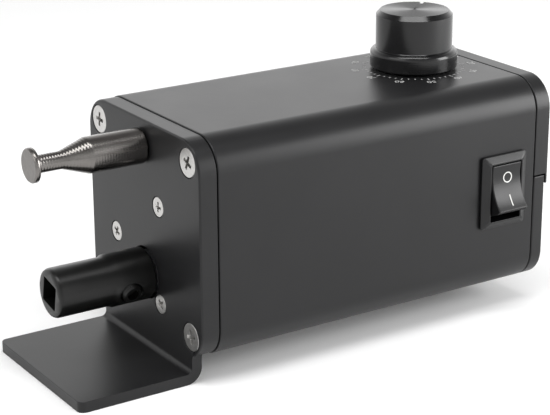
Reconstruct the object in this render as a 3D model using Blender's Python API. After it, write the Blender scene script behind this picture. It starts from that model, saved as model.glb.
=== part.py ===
"""A compact geared motor drive unit for a hand-cranked roller machine.

Every size is in millimetres and MM turns it into Blender's metres. The unit is modelled in its own
frame: X to the right as seen from the front, Y to the back and Z up, with Y = 0 on the front plate's
face and X = Z = 0 on the centre line of the square housing. The empty `drive_unit` carries that frame
to the origin, which is on the floor under the middle of the object.
"""

import math

import bmesh
import bpy
from mathutils import Matrix, Vector

MM = 0.001
GAP = 0.3

# Housing: a square extruded tube between the front plate and the two rear covers.
HOUSING_SIDE = 60.0
HOUSING_CORNER = 9.0
HOUSING_WALL = 2.5
HOUSING_FRONT = 5.5
HOUSING_BACK = 109.65
SCREW_PITCH = 47.6
BOSS_RADIUS = 4.4

# Front plate, leg and foot in one piece.
PLATE_SIDE = 59.5
PLATE_CORNER = 8.8
PLATE_THICK = 5.2
LEG_WIDTH = 48.4
LEG_THICK = 3.0
LEG_FILLET = 2.2
FOOT_REACH = 32.8
FOOT_DROP = 7.0
FOOT_CORNER = 2.0
BEND_INSIDE = 1.5
FLOOR = -HOUSING_SIDE / 2 - FOOT_DROP

# Drive axis, gearmotor axis and locating pin, all on the plate's vertical centre line.
MOTOR_Z = -6.2
OUTPUT_OFFSET = 7.0
OUTPUT_Z = MOTOR_Z - OUTPUT_OFFSET
PIN_Z = 22.5
MOTOR_SCREW_CIRCLE = 31.6
PLATE_BORE = 7.3

# Drive socket.
SOCKET_FRONT = -28.5
SOCKET_RADIUS = 6.7
COLLAR_RADIUS = 7.15
COLLAR_FRONT = -11.8
SOCKET_SQUARE = 6.9
SOCKET_SQUARE_DEPTH = 12.0
SOCKET_TURN = math.radians(-12.0)
SET_SCREW_Y = -7.6
SET_SCREW_TURN = math.radians(-20.0)

# Locating pin.
PIN_RADIUS = 4.85
PIN_STRAIGHT = 16.2
PIN_CONE_END = 23.6
PIN_NECK_RADIUS = 2.35
PIN_HEAD_BACK = 31.0
PIN_HEAD_FRONT = 32.5
PIN_HEAD_RADIUS = 4.6
PIN_STUD_RADIUS = 3.0

# Screws: head radius, shank radius, length, recess arm, recess width, recess depth.
CORNER_SCREW = (3.85, 1.95, 16.0, 2.1, 0.75, 1.5)
MOTOR_SCREW = (2.75, 1.45, 8.6, 1.5, 0.6, 1.0)
SCREW_SEGMENTS = 20

# Gearbox: three reductions between the motor pinion and the output shaft.
CASE_RADIUS = 18.5
CASE_WALL = 1.8
CASE_FRONT = 5.6
CASE_FLANGE = 3.2
CASE_BACK = 31.6
CASE_END_WALL = 3.0
BOSS_FRONT = 0.4
BOSS_OUTER = 6.0
SHAFT_RADIUS = 3.0
BUSH_RADIUS = 4.3
PINION_HOLE = 3.3
RUNNING_GAP = 0.1
FINE_MODULE = 0.5
COARSE_MODULE = 0.6
PINION_TEETH = 10
WHEEL_TEETH = 24
OUTPUT_TEETH = 26
OUTPUT_WHEEL_Y = (10.2, 14.8)
SECOND_PINION_Y = (9.6, 17.2)
SECOND_WHEEL_Y = (16.2, 20.0)
FIRST_PINION_Y = (15.8, 22.6)
FIRST_WHEEL_Y = (21.6, 25.2)
MOTOR_PINION_Y = (21.0, 26.4)
GEAR_PIN_Y = (6.6, 30.6)
BACKLASH = 0.12
GEAR_PIN_RADIUS = 1.0
GEAR_BORE_RADIUS = 1.25
SECOND_GEAR_BEARING = math.radians(40.0)

# Motor.
CAN_RADIUS = 17.9
CAN_WALL = 1.2
CAN_FRONT = 31.9
CAN_BACK = 62.0
MOTOR_SHAFT_RADIUS = 1.6
MOTOR_SHAFT_Y = (20.6, 62.6)
ARMATURE_RADIUS = 12.4
ARMATURE_Y = (38.5, 53.0)
ARMATURE_SLOTS = 5
MAGNET_RADII = (13.3, 16.4)
MAGNET_Y = (36.5, 55.0)
COMMUTATOR_RADIUS = 4.0
COMMUTATOR_Y = (54.0, 58.2)

# Speed knob and the potentiometer under it.
KNOB_X = -2.2
KNOB_Y = 90.6
KNOB_BASE = 30.5
KNOB_PROFILE = (
    (12.1, 0.0), (12.5, 0.4), (12.5, 3.3), (12.3, 3.6),
    (10.95, 5.2), (10.85, 6.0), (10.65, 15.2), (9.6, 16.4),
)
KNOB_POINTER = math.radians(130.0)
POT_RADIUS = 8.2
POT_Z = (17.0, 26.9)
BUSHING_RADIUS = 3.5
BUSHING_TOP = 34.0
POT_SHAFT_RADIUS = 2.9
POT_SHAFT_Z = (18.5, 43.0)
POT_NUT_ACROSS = 10.0
POT_NUT_Z = (30.3, 32.3)

# Rocker switch in the right side wall.
SWITCH_Y = 98.0
SWITCH_Z = 0.3
BEZEL_SIZE = (15.7, 21.2)
BEZEL_BODY = (12.9, 19.0)
BEZEL_OPENING = (10.6, 16.7)
BEZEL_PROUD = 2.1
BEZEL_EDGE = 0.9
SWITCH_DEPTH = 14.0
ROCKER_WIDTH = 10.1
ROCKER_PIVOT_X = 27.7
ROCKER_TIP = 9.3
ROCKER_TIP_TURN = math.radians(44.3)
ROCKER_REST = math.radians(16.0)
ROCKER_PIN_RADIUS = 0.9

# Rear covers: the upper one is deeper and hangs a thin lip over the lower one.
COVER_FRONT = 109.95
UPPER_BACK = 114.8
LOWER_BACK = 113.9
COVER_SPLIT = 2.1
LIP_BOTTOM = -0.8
LIP_THICK = 0.7
COVER_WALL = 2.0
POCKET_WIDTH = 34.0

# Power inlet, rear foot and speed control board.
INLET_X = -13.0
INLET_Z = -14.0
INLET_RADIUS = 5.3
INLET_BACK = 117.4
REAR_FOOT_Y = 95.0
REAR_FOOT_RADIUS = 10.0
REAR_FOOT_SCREW = 1.5
BOARD_X = (-25.0, 5.0)
BOARD_Y = (69.0, 107.0)
BOARD_Z = (4.0, 5.6)

# The origin is under the middle of the object, on the floor.
ROCKER_TIP_X = ROCKER_PIVOT_X + ROCKER_TIP * math.cos(ROCKER_TIP_TURN - ROCKER_REST)
MIDDLE_X = (ROCKER_TIP_X - HOUSING_SIDE / 2) / 2
MIDDLE_Y = (INLET_BACK - FOOT_REACH) / 2

for old in list(bpy.data.objects):
    bpy.data.objects.remove(old)

unit = bpy.data.objects.new("drive_unit", None)
unit.location = Vector((-MIDDLE_X, -MIDDLE_Y, -FLOOR)) * MM
bpy.context.scene.collection.objects.link(unit)


def finish(name, red, green, blue, roughness, metallic=0.0):
    """A material with one colour, a roughness and a metallic value."""
    made = bpy.data.materials.new(name)
    made.use_nodes = True
    shader = made.node_tree.nodes["Principled BSDF"]
    shader.inputs["Base Color"].default_value = (red, green, blue, 1.0)
    shader.inputs["Roughness"].default_value = roughness
    shader.inputs["Metallic"].default_value = metallic
    return made


BLACK_COAT = finish("black_powder_coat", 0.022, 0.022, 0.023, 0.5)
BLACK_STEEL = finish("black_oxide_steel", 0.012, 0.012, 0.012, 0.38, 0.6)
BLACK_ANODISED = finish("black_anodised_aluminium", 0.012, 0.012, 0.013, 0.25, 0.8)
TURNED_STEEL = finish("turned_stainless_steel", 0.55, 0.52, 0.50, 0.28, 1.0)
ZINC_STEEL = finish("zinc_plated_steel", 0.62, 0.61, 0.60, 0.3, 1.0)
GEAR_STEEL = finish("gear_steel", 0.35, 0.35, 0.36, 0.4, 1.0)
CAST_ZINC = finish("cast_zinc", 0.40, 0.40, 0.42, 0.5, 1.0)
BRONZE = finish("sintered_bronze", 0.48, 0.30, 0.14, 0.5, 1.0)
COPPER = finish("wound_copper", 0.62, 0.27, 0.13, 0.4, 1.0)
FERRITE = finish("ferrite", 0.05, 0.05, 0.055, 0.7)
BRASS = finish("tinned_brass", 0.62, 0.52, 0.30, 0.35, 1.0)
SWITCH_PLASTIC = finish("black_switch_plastic", 0.018, 0.018, 0.019, 0.4)
END_CAP_PLASTIC = finish("white_motor_plastic", 0.6, 0.6, 0.57, 0.5)
CIRCUIT_BOARD = finish("circuit_board", 0.02, 0.14, 0.06, 0.4)
RUBBER = finish("black_rubber", 0.015, 0.015, 0.015, 0.85)
RED_WIRE = finish("red_wire_insulation", 0.45, 0.02, 0.02, 0.45)
BLACK_WIRE = finish("black_wire_insulation", 0.02, 0.02, 0.02, 0.45)


def point(axis, u, v, height):
    """A point of a flat outline (u, v) at a height along the named axis."""
    if axis == "X":
        return Vector((height, u, v)) * MM
    if axis == "Y":
        return Vector((u, height, v)) * MM
    return Vector((u, v, height)) * MM


def add_object(name, shape, material, pivot=(0.0, 0.0, 0.0), guide=False):
    """Turns a bmesh into an object of the unit, with its origin at the pivot."""
    bmesh.ops.remove_doubles(shape, verts=shape.verts[:], dist=0.0005 * MM)
    bmesh.ops.recalc_face_normals(shape, faces=shape.faces[:])
    place = Vector(pivot) * MM
    bmesh.ops.translate(shape, verts=shape.verts[:], vec=-place)
    mesh = bpy.data.meshes.new(name)
    shape.to_mesh(mesh)
    shape.free()
    mesh.shade_smooth()
    mesh.set_sharp_from_angle(angle=math.radians(32.0))
    made = bpy.data.objects.new(name, mesh)
    made.location = place
    made.parent = unit
    bpy.context.scene.collection.objects.link(made)
    if guide:
        made.hide_render = True
        made.display_type = "WIRE"
    else:
        mesh.materials.append(material)
    return made


def add_loop(shape, points):
    """A closed loop of edges through the points."""
    verts = [shape.verts.new(place) for place in points]
    return [shape.edges.new((verts[i - 1], verts[i])) for i in range(len(verts))]


def prism_shape(outline, axis, low, high, holes=()):
    """A flat outline with holes, filled and extruded along the axis."""
    shape = bmesh.new()
    for loop in (outline, *holes):
        add_loop(shape, [point(axis, u, v, low) for u, v in loop])
    bmesh.ops.triangle_fill(shape, use_beauty=True, use_dissolve=False, edges=shape.edges[:])
    grown = bmesh.ops.extrude_face_region(shape, geom=shape.faces[:], use_keep_orig=True)
    moved = [item for item in grown["geom"] if isinstance(item, bmesh.types.BMVert)]
    bmesh.ops.translate(shape, verts=moved, vec=point(axis, 0.0, 0.0, high - low))
    return shape


def prism(name, outline, axis, low, high, material, holes=(), pivot=(0.0, 0.0, 0.0), guide=False):
    return add_object(name, prism_shape(outline, axis, low, high, holes), material, pivot, guide)


def lathe_shape(profile, axis, centre, segments, ring=False):
    """A profile of (radius, height) points spun about the axis through the centre."""
    shape = bmesh.new()
    verts = [shape.verts.new((radius * MM, 0.0, height * MM)) for radius, height in profile]
    pairs = list(zip(verts, verts[1:]))
    if ring:
        pairs.append((verts[-1], verts[0]))
    for first, second in pairs:
        shape.edges.new((first, second))
    bmesh.ops.spin(
        shape, geom=shape.verts[:] + shape.edges[:], cent=(0, 0, 0), axis=(0, 0, 1),
        angle=2 * math.pi, steps=segments, use_duplicate=False,
    )
    turn = {
        "X": Matrix.Rotation(math.pi / 2, 4, "Y"),
        "Y": Matrix.Rotation(-math.pi / 2, 4, "X"),
        "Z": Matrix.Identity(4),
    }[axis]
    bmesh.ops.transform(shape, matrix=Matrix.Translation(Vector(centre) * MM) @ turn, verts=shape.verts[:])
    return shape


def lathe(name, profile, axis, centre, material, segments=32, ring=False, pivot=(0.0, 0.0, 0.0), guide=False):
    return add_object(name, lathe_shape(profile, axis, centre, segments, ring), material, pivot, guide)


def rod(name, radius, low, high, axis_point, material, segments):
    """A plain shaft along Y, with its origin on its own axis."""
    profile = [(0.0, low), (radius, low), (radius, high), (0.0, high)]
    centre = (axis_point[0], 0.0, axis_point[2])
    return lathe(name, profile, "Y", centre, material, segments, pivot=axis_point)


def loft(name, rings, material, pivot=(0.0, 0.0, 0.0), guide=False):
    """A solid through rings of equal point counts, capped at the first and the last ring."""
    shape = bmesh.new()
    loops = [[shape.verts.new(Vector(place) * MM) for place in ring] for ring in rings]
    count = len(loops[0])
    for lower, upper in zip(loops, loops[1:]):
        for i in range(count):
            shape.faces.new((lower[i - 1], lower[i], upper[i], upper[i - 1]))
    shape.faces.new(loops[0])
    shape.faces.new(loops[-1])
    return add_object(name, shape, material, pivot, guide)


def boolean(target, tool, operation="DIFFERENCE"):
    """A live Boolean on the target; the tool is a guide and not a part."""
    cut = target.modifiers.new(tool.name, "BOOLEAN")
    cut.operation = operation
    cut.object = tool


def through_hole(target, name, outline, axis, low, high):
    """Cuts an outline through the target between two faces, running 1 mm past both."""
    boolean(target, prism(name, outline, axis, low - 1.0, high + 1.0, None, guide=True))


def circle(radius, segments, centre=(0.0, 0.0), start=0.0):
    steps = [start + 2 * math.pi * i / segments for i in range(segments)]
    return [(centre[0] + radius * math.cos(a), centre[1] + radius * math.sin(a)) for a in steps]


def arc(centre, radius, start, end, steps):
    turns = [start + (end - start) * i / steps for i in range(steps + 1)]
    return [(centre[0] + radius * math.cos(a), centre[1] + radius * math.sin(a)) for a in turns]


def filleted(corners, steps=6):
    """An outline from corners (u, v, radius), each rounded by its radius."""
    outline = []
    for i, (u, v, radius) in enumerate(corners):
        here = Vector((u, v))
        if radius <= 0.0:
            outline.append((u, v))
            continue
        back = (Vector(corners[i - 1][:2]) - here).normalized()
        ahead = (Vector(corners[(i + 1) % len(corners)][:2]) - here).normalized()
        half = back.angle(ahead) / 2
        reach = radius / math.tan(half)
        centre = here + (back + ahead).normalized() * (radius / math.sin(half))
        first = here + back * reach - centre
        last = here + ahead * reach - centre
        sweep = first.angle_signed(last)
        for k in range(steps + 1):
            turned = Matrix.Rotation(-sweep * k / steps, 2) @ first
            outline.append(tuple(centre + turned))
    return outline


def rounded_rectangle(width, height, radius, centre=(0.0, 0.0), steps=6):
    u, v = width / 2, height / 2
    corners = [(-u, -v, radius), (u, -v, radius), (u, v, radius), (-u, v, radius)]
    return [(centre[0] + x, centre[1] + y) for x, y in filleted(corners, steps)]


def corner_places():
    """The four screw positions in the corners, from top left round to bottom left."""
    half = SCREW_PITCH / 2
    return [(-half, half), (half, half), (half, -half), (-half, -half)]


def motor_screw_places():
    """Three screws a third of a turn apart round the gearmotor's axis."""
    radius = MOTOR_SCREW_CIRCLE / 2
    turns = [math.pi, math.pi / 3, -math.pi / 3]
    return [(radius * math.cos(a), MOTOR_Z + radius * math.sin(a)) for a in turns]


def cross_outline(arm, width):
    """The plus-shaped mouth of a cross recess."""
    half = width / 2
    quarter = [(arm, -half), (arm, half), (half, half)]
    outline = []
    for turn in range(4):
        cos, sin = round(math.cos(turn * math.pi / 2)), round(math.sin(turn * math.pi / 2))
        outline += [(u * cos - v * sin, u * sin + v * cos) for u, v in quarter]
    return outline


def countersunk_screw(name, size, place, face, direction):
    """A countersunk cross-head screw whose flat head lies in the plane Y = face.

    direction is 1 when the shank points to +Y and -1 when it points to -Y.
    """
    head, shank, length, arm, width, depth = size
    cone = head - shank
    profile = [
        (0.0, length), (shank - 0.4, length), (shank, length - 0.6),
        (shank, cone + 0.3), (head, 0.3), (head, 0.0),
    ]
    shape = lathe_shape(profile, "Z", (0, 0, 0), SCREW_SEGMENTS)
    bmesh.ops.remove_doubles(shape, verts=shape.verts[:], dist=0.0005 * MM)
    rim = [edge for edge in shape.edges if edge.is_boundary]
    mouth = add_loop(shape, [Vector((u, v, 0.0)) * MM for u, v in cross_outline(arm, width)])
    bmesh.ops.triangle_fill(shape, use_beauty=True, use_dissolve=False, edges=rim + mouth)
    walls = bmesh.ops.extrude_edge_only(shape, edges=mouth)["geom"]
    floor_verts = [item for item in walls if isinstance(item, bmesh.types.BMVert)]
    floor_edges = [item for item in walls if isinstance(item, bmesh.types.BMEdge) and item.is_boundary]
    bmesh.ops.translate(shape, verts=floor_verts, vec=(0, 0, depth * MM))
    bmesh.ops.scale(shape, verts=floor_verts, vec=(0.6, 0.6, 1.0))
    bmesh.ops.triangle_fill(shape, use_beauty=True, use_dissolve=False, edges=floor_edges)
    turn = Matrix.Rotation(-direction * math.pi / 2, 4, "X")
    move = Matrix.Translation(Vector((place[0], face, place[1])) * MM)
    bmesh.ops.transform(shape, matrix=move @ turn, verts=shape.verts[:])
    return add_object(name, shape, ZINC_STEEL)


def countersink(target, size, place, face, direction, depth):
    """Cuts the clearance hole and the countersink for one screw."""
    head, shank = size[0] + 0.2, size[1] + 0.25
    cone = head - shank
    profile = [(0.0, -1.0), (head, -1.0), (head, 0.55), (shank, cone + 0.55), (shank, depth), (0.0, depth)]
    if direction < 0:
        profile = [(radius, -height) for radius, height in profile]
    tool = lathe(
        f"{target.name}_hole_{len(target.modifiers)}", profile, "Y", (place[0], face, place[1]),
        None, SCREW_SEGMENTS, guide=True,
    )
    boolean(target, tool)


def gear_outline(teeth, module, centre, tooth_at):
    """Involute teeth through three radii each side, one tooth centred on the angle tooth_at."""
    pitch = module * teeth / 2
    base = pitch * math.cos(math.radians(20.0))
    half_pitch_tooth = math.pi / (2 * teeth) - BACKLASH / (2 * pitch)
    inv_pitch = math.tan(math.radians(20.0)) - math.radians(20.0)

    def half_tooth(radius):
        pressure = math.acos(min(1.0, base / radius))
        return half_pitch_tooth + inv_pitch - (math.tan(pressure) - pressure)

    root, tip = pitch - 1.15 * module, pitch + 0.8 * module
    radii = (root, pitch, tip)
    outline = []
    for k in range(teeth):
        middle = tooth_at + 2 * math.pi * k / teeth
        sides = [(radius, middle - half_tooth(radius)) for radius in radii]
        sides += [(radius, middle + half_tooth(radius)) for radius in reversed(radii)]
        outline += [(centre[0] + r * math.cos(a), centre[1] + r * math.sin(a)) for r, a in sides]
    return outline


def union_prism(target, outline, axis, low, high, holes=(), pivot=(0.0, 0.0, 0.0)):
    """Joins an extruded outline to the target."""
    name = f"{target.name}_joined_{len(target.modifiers)}"
    tool = prism(name, outline, axis, low, high, None, holes, pivot, True)
    boolean(target, tool, "UNION")


def build_housing():
    """The square tube with its four screw bosses, switch cut-out and control hole."""
    wall_inside = HOUSING_SIDE / 2 - HOUSING_WALL
    boss = SCREW_PITCH / 2
    meets_wall = math.acos((wall_inside - boss) / BOSS_RADIUS)
    round_boss = arc((boss, boss), BOSS_RADIUS, -meets_wall, meets_wall + math.pi / 2 - 2 * math.pi, 10)
    inner = []
    for quarter in range(4):
        cos, sin = math.cos(quarter * math.pi / 2), math.sin(quarter * math.pi / 2)
        inner += [(u * cos - v * sin, u * sin + v * cos) for u, v in round_boss]
    bores = [circle(CORNER_SCREW[1] + GAP, 12, place) for place in corner_places()]
    outer = rounded_rectangle(HOUSING_SIDE, HOUSING_SIDE, HOUSING_CORNER, steps=8)
    housing = prism("housing", outer, "Y", HOUSING_FRONT, HOUSING_BACK, BLACK_COAT, [inner, *bores])
    window = rounded_rectangle(BEZEL_BODY[0] + 0.4, BEZEL_BODY[1] + 0.4, 0.6, (SWITCH_Y, SWITCH_Z), 2)
    wall_outside = HOUSING_SIDE / 2
    through_hole(housing, "switch_window", window, "X", wall_inside, wall_outside)
    control = circle(BUSHING_RADIUS + GAP, 24, (KNOB_X, KNOB_Y))
    through_hole(housing, "control_hole", control, "Z", wall_inside, wall_outside)
    foot_screw = circle(REAR_FOOT_SCREW + GAP, 16, (0.0, REAR_FOOT_Y))
    through_hole(housing, "foot_screw_hole", foot_screw, "Z", -wall_outside, -wall_inside)


def build_front_plate():
    """The front plate, its leg and the foot bent forward, in one piece."""
    half, leg = PLATE_SIDE / 2, LEG_WIDTH / 2
    corner_z = -half + PLATE_CORNER - math.sqrt(PLATE_CORNER**2 - (leg - half + PLATE_CORNER) ** 2)
    bend_z = FLOOR + LEG_THICK + BEND_INSIDE
    square = rounded_rectangle(PLATE_SIDE, PLATE_SIDE, PLATE_CORNER, steps=8)
    plate = prism("front_plate", square, "Y", 0.0, PLATE_THICK, BLACK_COAT)
    flare = leg + LEG_FILLET
    leg_outline = filleted([
        (-flare, corner_z + LEG_FILLET, 0.0), (-flare, corner_z, 0.0), (-leg, corner_z, LEG_FILLET * 0.9),
        (-leg, bend_z - 0.5, 0.0), (leg, bend_z - 0.5, 0.0),
        (leg, corner_z, LEG_FILLET * 0.9), (flare, corner_z, 0.0), (flare, corner_z + LEG_FILLET, 0.0),
    ], 4)
    union_prism(plate, leg_outline, "Y", 0.0, LEG_THICK)
    bend_centre = (-BEND_INSIDE, bend_z)
    foot_start = -BEND_INSIDE - 2.0
    bend = arc(bend_centre, BEND_INSIDE, 0.0, -math.pi / 2, 5)
    bend += [(foot_start, FLOOR + LEG_THICK), (foot_start, FLOOR)]
    bend += arc(bend_centre, BEND_INSIDE + LEG_THICK, -math.pi / 2, 0.0, 8)
    bend += [(LEG_THICK, bend_z + 1.0), (0.0, bend_z + 1.0)]
    union_prism(plate, bend, "X", -leg, leg)
    foot = filleted([
        (-leg, -FOOT_REACH, FOOT_CORNER), (leg, -FOOT_REACH, FOOT_CORNER),
        (leg, foot_start + 1.0, 0.0), (-leg, foot_start + 1.0, 0.0),
    ], 5)
    union_prism(plate, foot, "Z", FLOOR, FLOOR + LEG_THICK)
    for place in corner_places():
        countersink(plate, CORNER_SCREW, place, 0.0, 1, PLATE_THICK + 1.0)
    for place in motor_screw_places():
        countersink(plate, MOTOR_SCREW, place, 0.0, 1, PLATE_THICK + 1.0)
    pin_bore = ("pin_bore", PIN_STUD_RADIUS + GAP, PIN_Z)
    for name, radius, height in (("drive_bore", PLATE_BORE, OUTPUT_Z), pin_bore):
        through_hole(plate, name, circle(radius, 32, (0.0, height)), "Y", 0.0, PLATE_THICK)


def build_rear_covers():
    """Two covers that close the tube: shallow shells with the screws in their corners."""
    half = HOUSING_SIDE / 2
    upper_outline = filleted([
        (-half, COVER_SPLIT, 0.0), (half, COVER_SPLIT, 0.0),
        (half, half, HOUSING_CORNER), (-half, half, HOUSING_CORNER),
    ], 8)
    lower_outline = filleted([
        (-half, -half, HOUSING_CORNER), (half, -half, HOUSING_CORNER),
        (half, COVER_SPLIT - GAP, 0.0), (-half, COVER_SPLIT - GAP, 0.0),
    ], 8)
    upper = prism("rear_cover_upper", upper_outline, "Y", COVER_FRONT, UPPER_BACK, BLACK_COAT)
    lip = [(-half, LIP_BOTTOM), (half, LIP_BOTTOM), (half, COVER_SPLIT + 1.0), (-half, COVER_SPLIT + 1.0)]
    union_prism(upper, lip, "Y", UPPER_BACK - LIP_THICK, UPPER_BACK)
    lower = prism("rear_cover_lower", lower_outline, "Y", COVER_FRONT, LOWER_BACK, BLACK_COAT)
    for cover, low, high, back in (
        (upper, COVER_SPLIT + COVER_WALL, half - COVER_WALL, UPPER_BACK),
        (lower, COVER_WALL - half, COVER_SPLIT - COVER_WALL, LOWER_BACK),
    ):
        side = POCKET_WIDTH / 2
        pocket = [(-side, low), (side, low), (side, high), (-side, high)]
        front = COVER_FRONT - 1.0
        tool = prism(f"{cover.name}_pocket", pocket, "Y", front, back - COVER_WALL, None, guide=True)
        boolean(cover, tool)
    for index, place in enumerate(corner_places()):
        cover, back = (upper, UPPER_BACK) if place[1] > 0 else (lower, LOWER_BACK)
        countersink(cover, CORNER_SCREW, place, back, -1, 7.0)
        countersunk_screw(f"rear_screw_{index + 1}", CORNER_SCREW, place, back, -1)
    inlet = circle(INLET_RADIUS + GAP, 32, (INLET_X, INLET_Z))
    through_hole(lower, "inlet_hole", inlet, "Y", COVER_FRONT, LOWER_BACK)


def build_front_screws():
    for index, place in enumerate(corner_places()):
        countersunk_screw(f"corner_screw_{index + 1}", CORNER_SCREW, place, 0.1, 1)
    for index, place in enumerate(motor_screw_places()):
        countersunk_screw(f"motor_screw_{index + 1}", MOTOR_SCREW, place, 0.1, 1)


def build_locating_pin():
    """The turned pin, with the washer and nut that hold its stud behind the plate."""
    stud_end = 13.0
    profile = [
        (0.0, -PIN_HEAD_FRONT), (PIN_HEAD_RADIUS - 0.4, -PIN_HEAD_FRONT),
        (PIN_HEAD_RADIUS, -PIN_HEAD_FRONT + 0.4),
        (PIN_HEAD_RADIUS, -PIN_HEAD_BACK), (PIN_NECK_RADIUS, -PIN_HEAD_BACK),
        (PIN_NECK_RADIUS, -PIN_CONE_END),
        (PIN_RADIUS, -PIN_STRAIGHT), (PIN_RADIUS, -0.7), (PIN_RADIUS - 0.4, -GAP), (PIN_STUD_RADIUS, -GAP),
        (PIN_STUD_RADIUS, stud_end - 0.5), (PIN_STUD_RADIUS - 0.5, stud_end), (0.0, stud_end),
    ]
    lathe("locating_pin", profile, "Y", (0.0, 0.0, PIN_Z), TURNED_STEEL, 32)
    bore = circle(PIN_STUD_RADIUS + 0.15, 20, (0.0, PIN_Z))
    washer_front = PLATE_THICK + GAP
    washer = circle(4.6, 24, (0.0, PIN_Z))
    prism("pin_washer", washer, "Y", washer_front, washer_front + 1.0, ZINC_STEEL, [bore])
    hexagon = circle(4.6, 6, (0.0, PIN_Z), math.pi / 2)
    prism("pin_nut", hexagon, "Y", washer_front + 1.3, washer_front + 5.3, ZINC_STEEL, [bore])


def build_drive_socket():
    """The black socket that drives the machine, on the gearbox's output shaft."""
    axis = (0.0, 0.0, OUTPUT_Z)
    shaft_bore = SHAFT_RADIUS + 0.15
    floor_y = SOCKET_FRONT + SOCKET_SQUARE_DEPTH
    profile = [
        (0.0, SOCKET_FRONT), (SOCKET_RADIUS - 0.9, SOCKET_FRONT), (SOCKET_RADIUS - 0.25, SOCKET_FRONT + 0.3),
        (SOCKET_RADIUS, SOCKET_FRONT + 1.0), (SOCKET_RADIUS, COLLAR_FRONT - 0.8),
        (COLLAR_RADIUS, COLLAR_FRONT),
        (COLLAR_RADIUS, -0.8), (COLLAR_RADIUS - 0.4, -0.4), (shaft_bore, -0.4),
        (shaft_bore, floor_y + 2.5), (0.0, floor_y + 2.5),
    ]
    socket = lathe("drive_socket", profile, "Y", axis, BLACK_STEEL, 40, pivot=axis)
    corner = SOCKET_SQUARE / math.sqrt(2)
    square = circle(corner, 4, (0.0, OUTPUT_Z), math.pi / 4 + SOCKET_TURN)
    boolean(socket, prism("square_hole", square, "Y", SOCKET_FRONT - 1.0, floor_y, None, guide=True))
    outward = Vector((math.cos(SET_SCREW_TURN), 0.0, math.sin(SET_SCREW_TURN)))
    turn = outward.to_track_quat("Z", "Y").to_matrix().to_4x4()
    foot = Vector((0.0, SET_SCREW_Y, OUTPUT_Z)) * MM

    def radial(name, profile, guide):
        shape = lathe_shape(profile, "Z", (0, 0, 0), 20)
        bmesh.ops.transform(shape, matrix=Matrix.Translation(foot) @ turn, verts=shape.verts[:])
        return add_object(name, shape, BLACK_STEEL, axis, guide)

    tapped = [(0.0, 1.0), (2.2, 1.0), (2.2, 6.3), (3.1, 7.6), (3.1, 9.0), (0.0, 9.0)]
    boolean(socket, radial("set_screw_hole", tapped, True))
    profile = [
        (0.0, 3.2), (1.4, 3.2), (2.0, 3.8), (2.0, 7.4), (1.7, 7.8), (1.1, 7.8), (1.1, 5.8), (0.0, 5.8),
    ]
    radial("set_screw", profile, False)


def gear_places():
    """Centres of the second and first intermediate gears in X and Z."""
    output = Vector((0.0, OUTPUT_Z))
    motor = Vector((0.0, MOTOR_Z))
    coarse = COARSE_MODULE * (PINION_TEETH + OUTPUT_TEETH) / 2
    fine = FINE_MODULE * (PINION_TEETH + WHEEL_TEETH) / 2
    second = output + Vector((math.cos(SECOND_GEAR_BEARING), math.sin(SECOND_GEAR_BEARING))) * coarse
    span = second - motor
    height = math.sqrt(fine**2 - (span.length / 2) ** 2)
    first = motor + span / 2 + Vector((-span.y, span.x)).normalized() * height
    return output, second, first, motor


def bearing(start, end):
    """The direction from one gear centre to the next."""
    way = end - start
    return math.atan2(way.y, way.x)


def build_gears():
    """The gear train, in mesh: a tooth of each pinion points at a gap of the wheel it drives."""
    output, second, first, motor = gear_places()
    wheel_bore = circle(SHAFT_RADIUS + RUNNING_GAP, 24, output)
    gap = math.pi / OUTPUT_TEETH
    outline = gear_outline(OUTPUT_TEETH, COARSE_MODULE, output, bearing(output, second) + gap)
    prism("output_gear", outline, "Y", *OUTPUT_WHEEL_Y, GEAR_STEEL, [wheel_bore], (0.0, 0.0, OUTPUT_Z))
    gap = math.pi / WHEEL_TEETH
    for name, centre, driver, driven, module, wheel_y, pinion_y in (
        ("second_gear", second, first, output, COARSE_MODULE, SECOND_WHEEL_Y, SECOND_PINION_Y),
        ("first_gear", first, motor, second, FINE_MODULE, FIRST_WHEEL_Y, FIRST_PINION_Y),
    ):
        pivot = (centre.x, 0.0, centre.y)
        bore = circle(GEAR_BORE_RADIUS, 16, centre)
        outline = gear_outline(WHEEL_TEETH, FINE_MODULE, centre, bearing(centre, driver) + gap)
        wheel = prism(name, outline, "Y", *wheel_y, GEAR_STEEL, [bore], pivot)
        pinion = gear_outline(PINION_TEETH, module, centre, bearing(centre, driven))
        union_prism(wheel, pinion, "Y", *pinion_y, [bore], pivot)
        rod(f"{name}_pin", GEAR_PIN_RADIUS, *GEAR_PIN_Y, pivot, GEAR_STEEL, 12)
    outline = gear_outline(PINION_TEETH, FINE_MODULE, motor, bearing(motor, first))
    bore = circle(MOTOR_SHAFT_RADIUS + 0.05, 16, motor)
    prism("motor_pinion", outline, "Y", *MOTOR_PINION_Y, BRONZE, [bore], (0.0, 0.0, MOTOR_Z))


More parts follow.
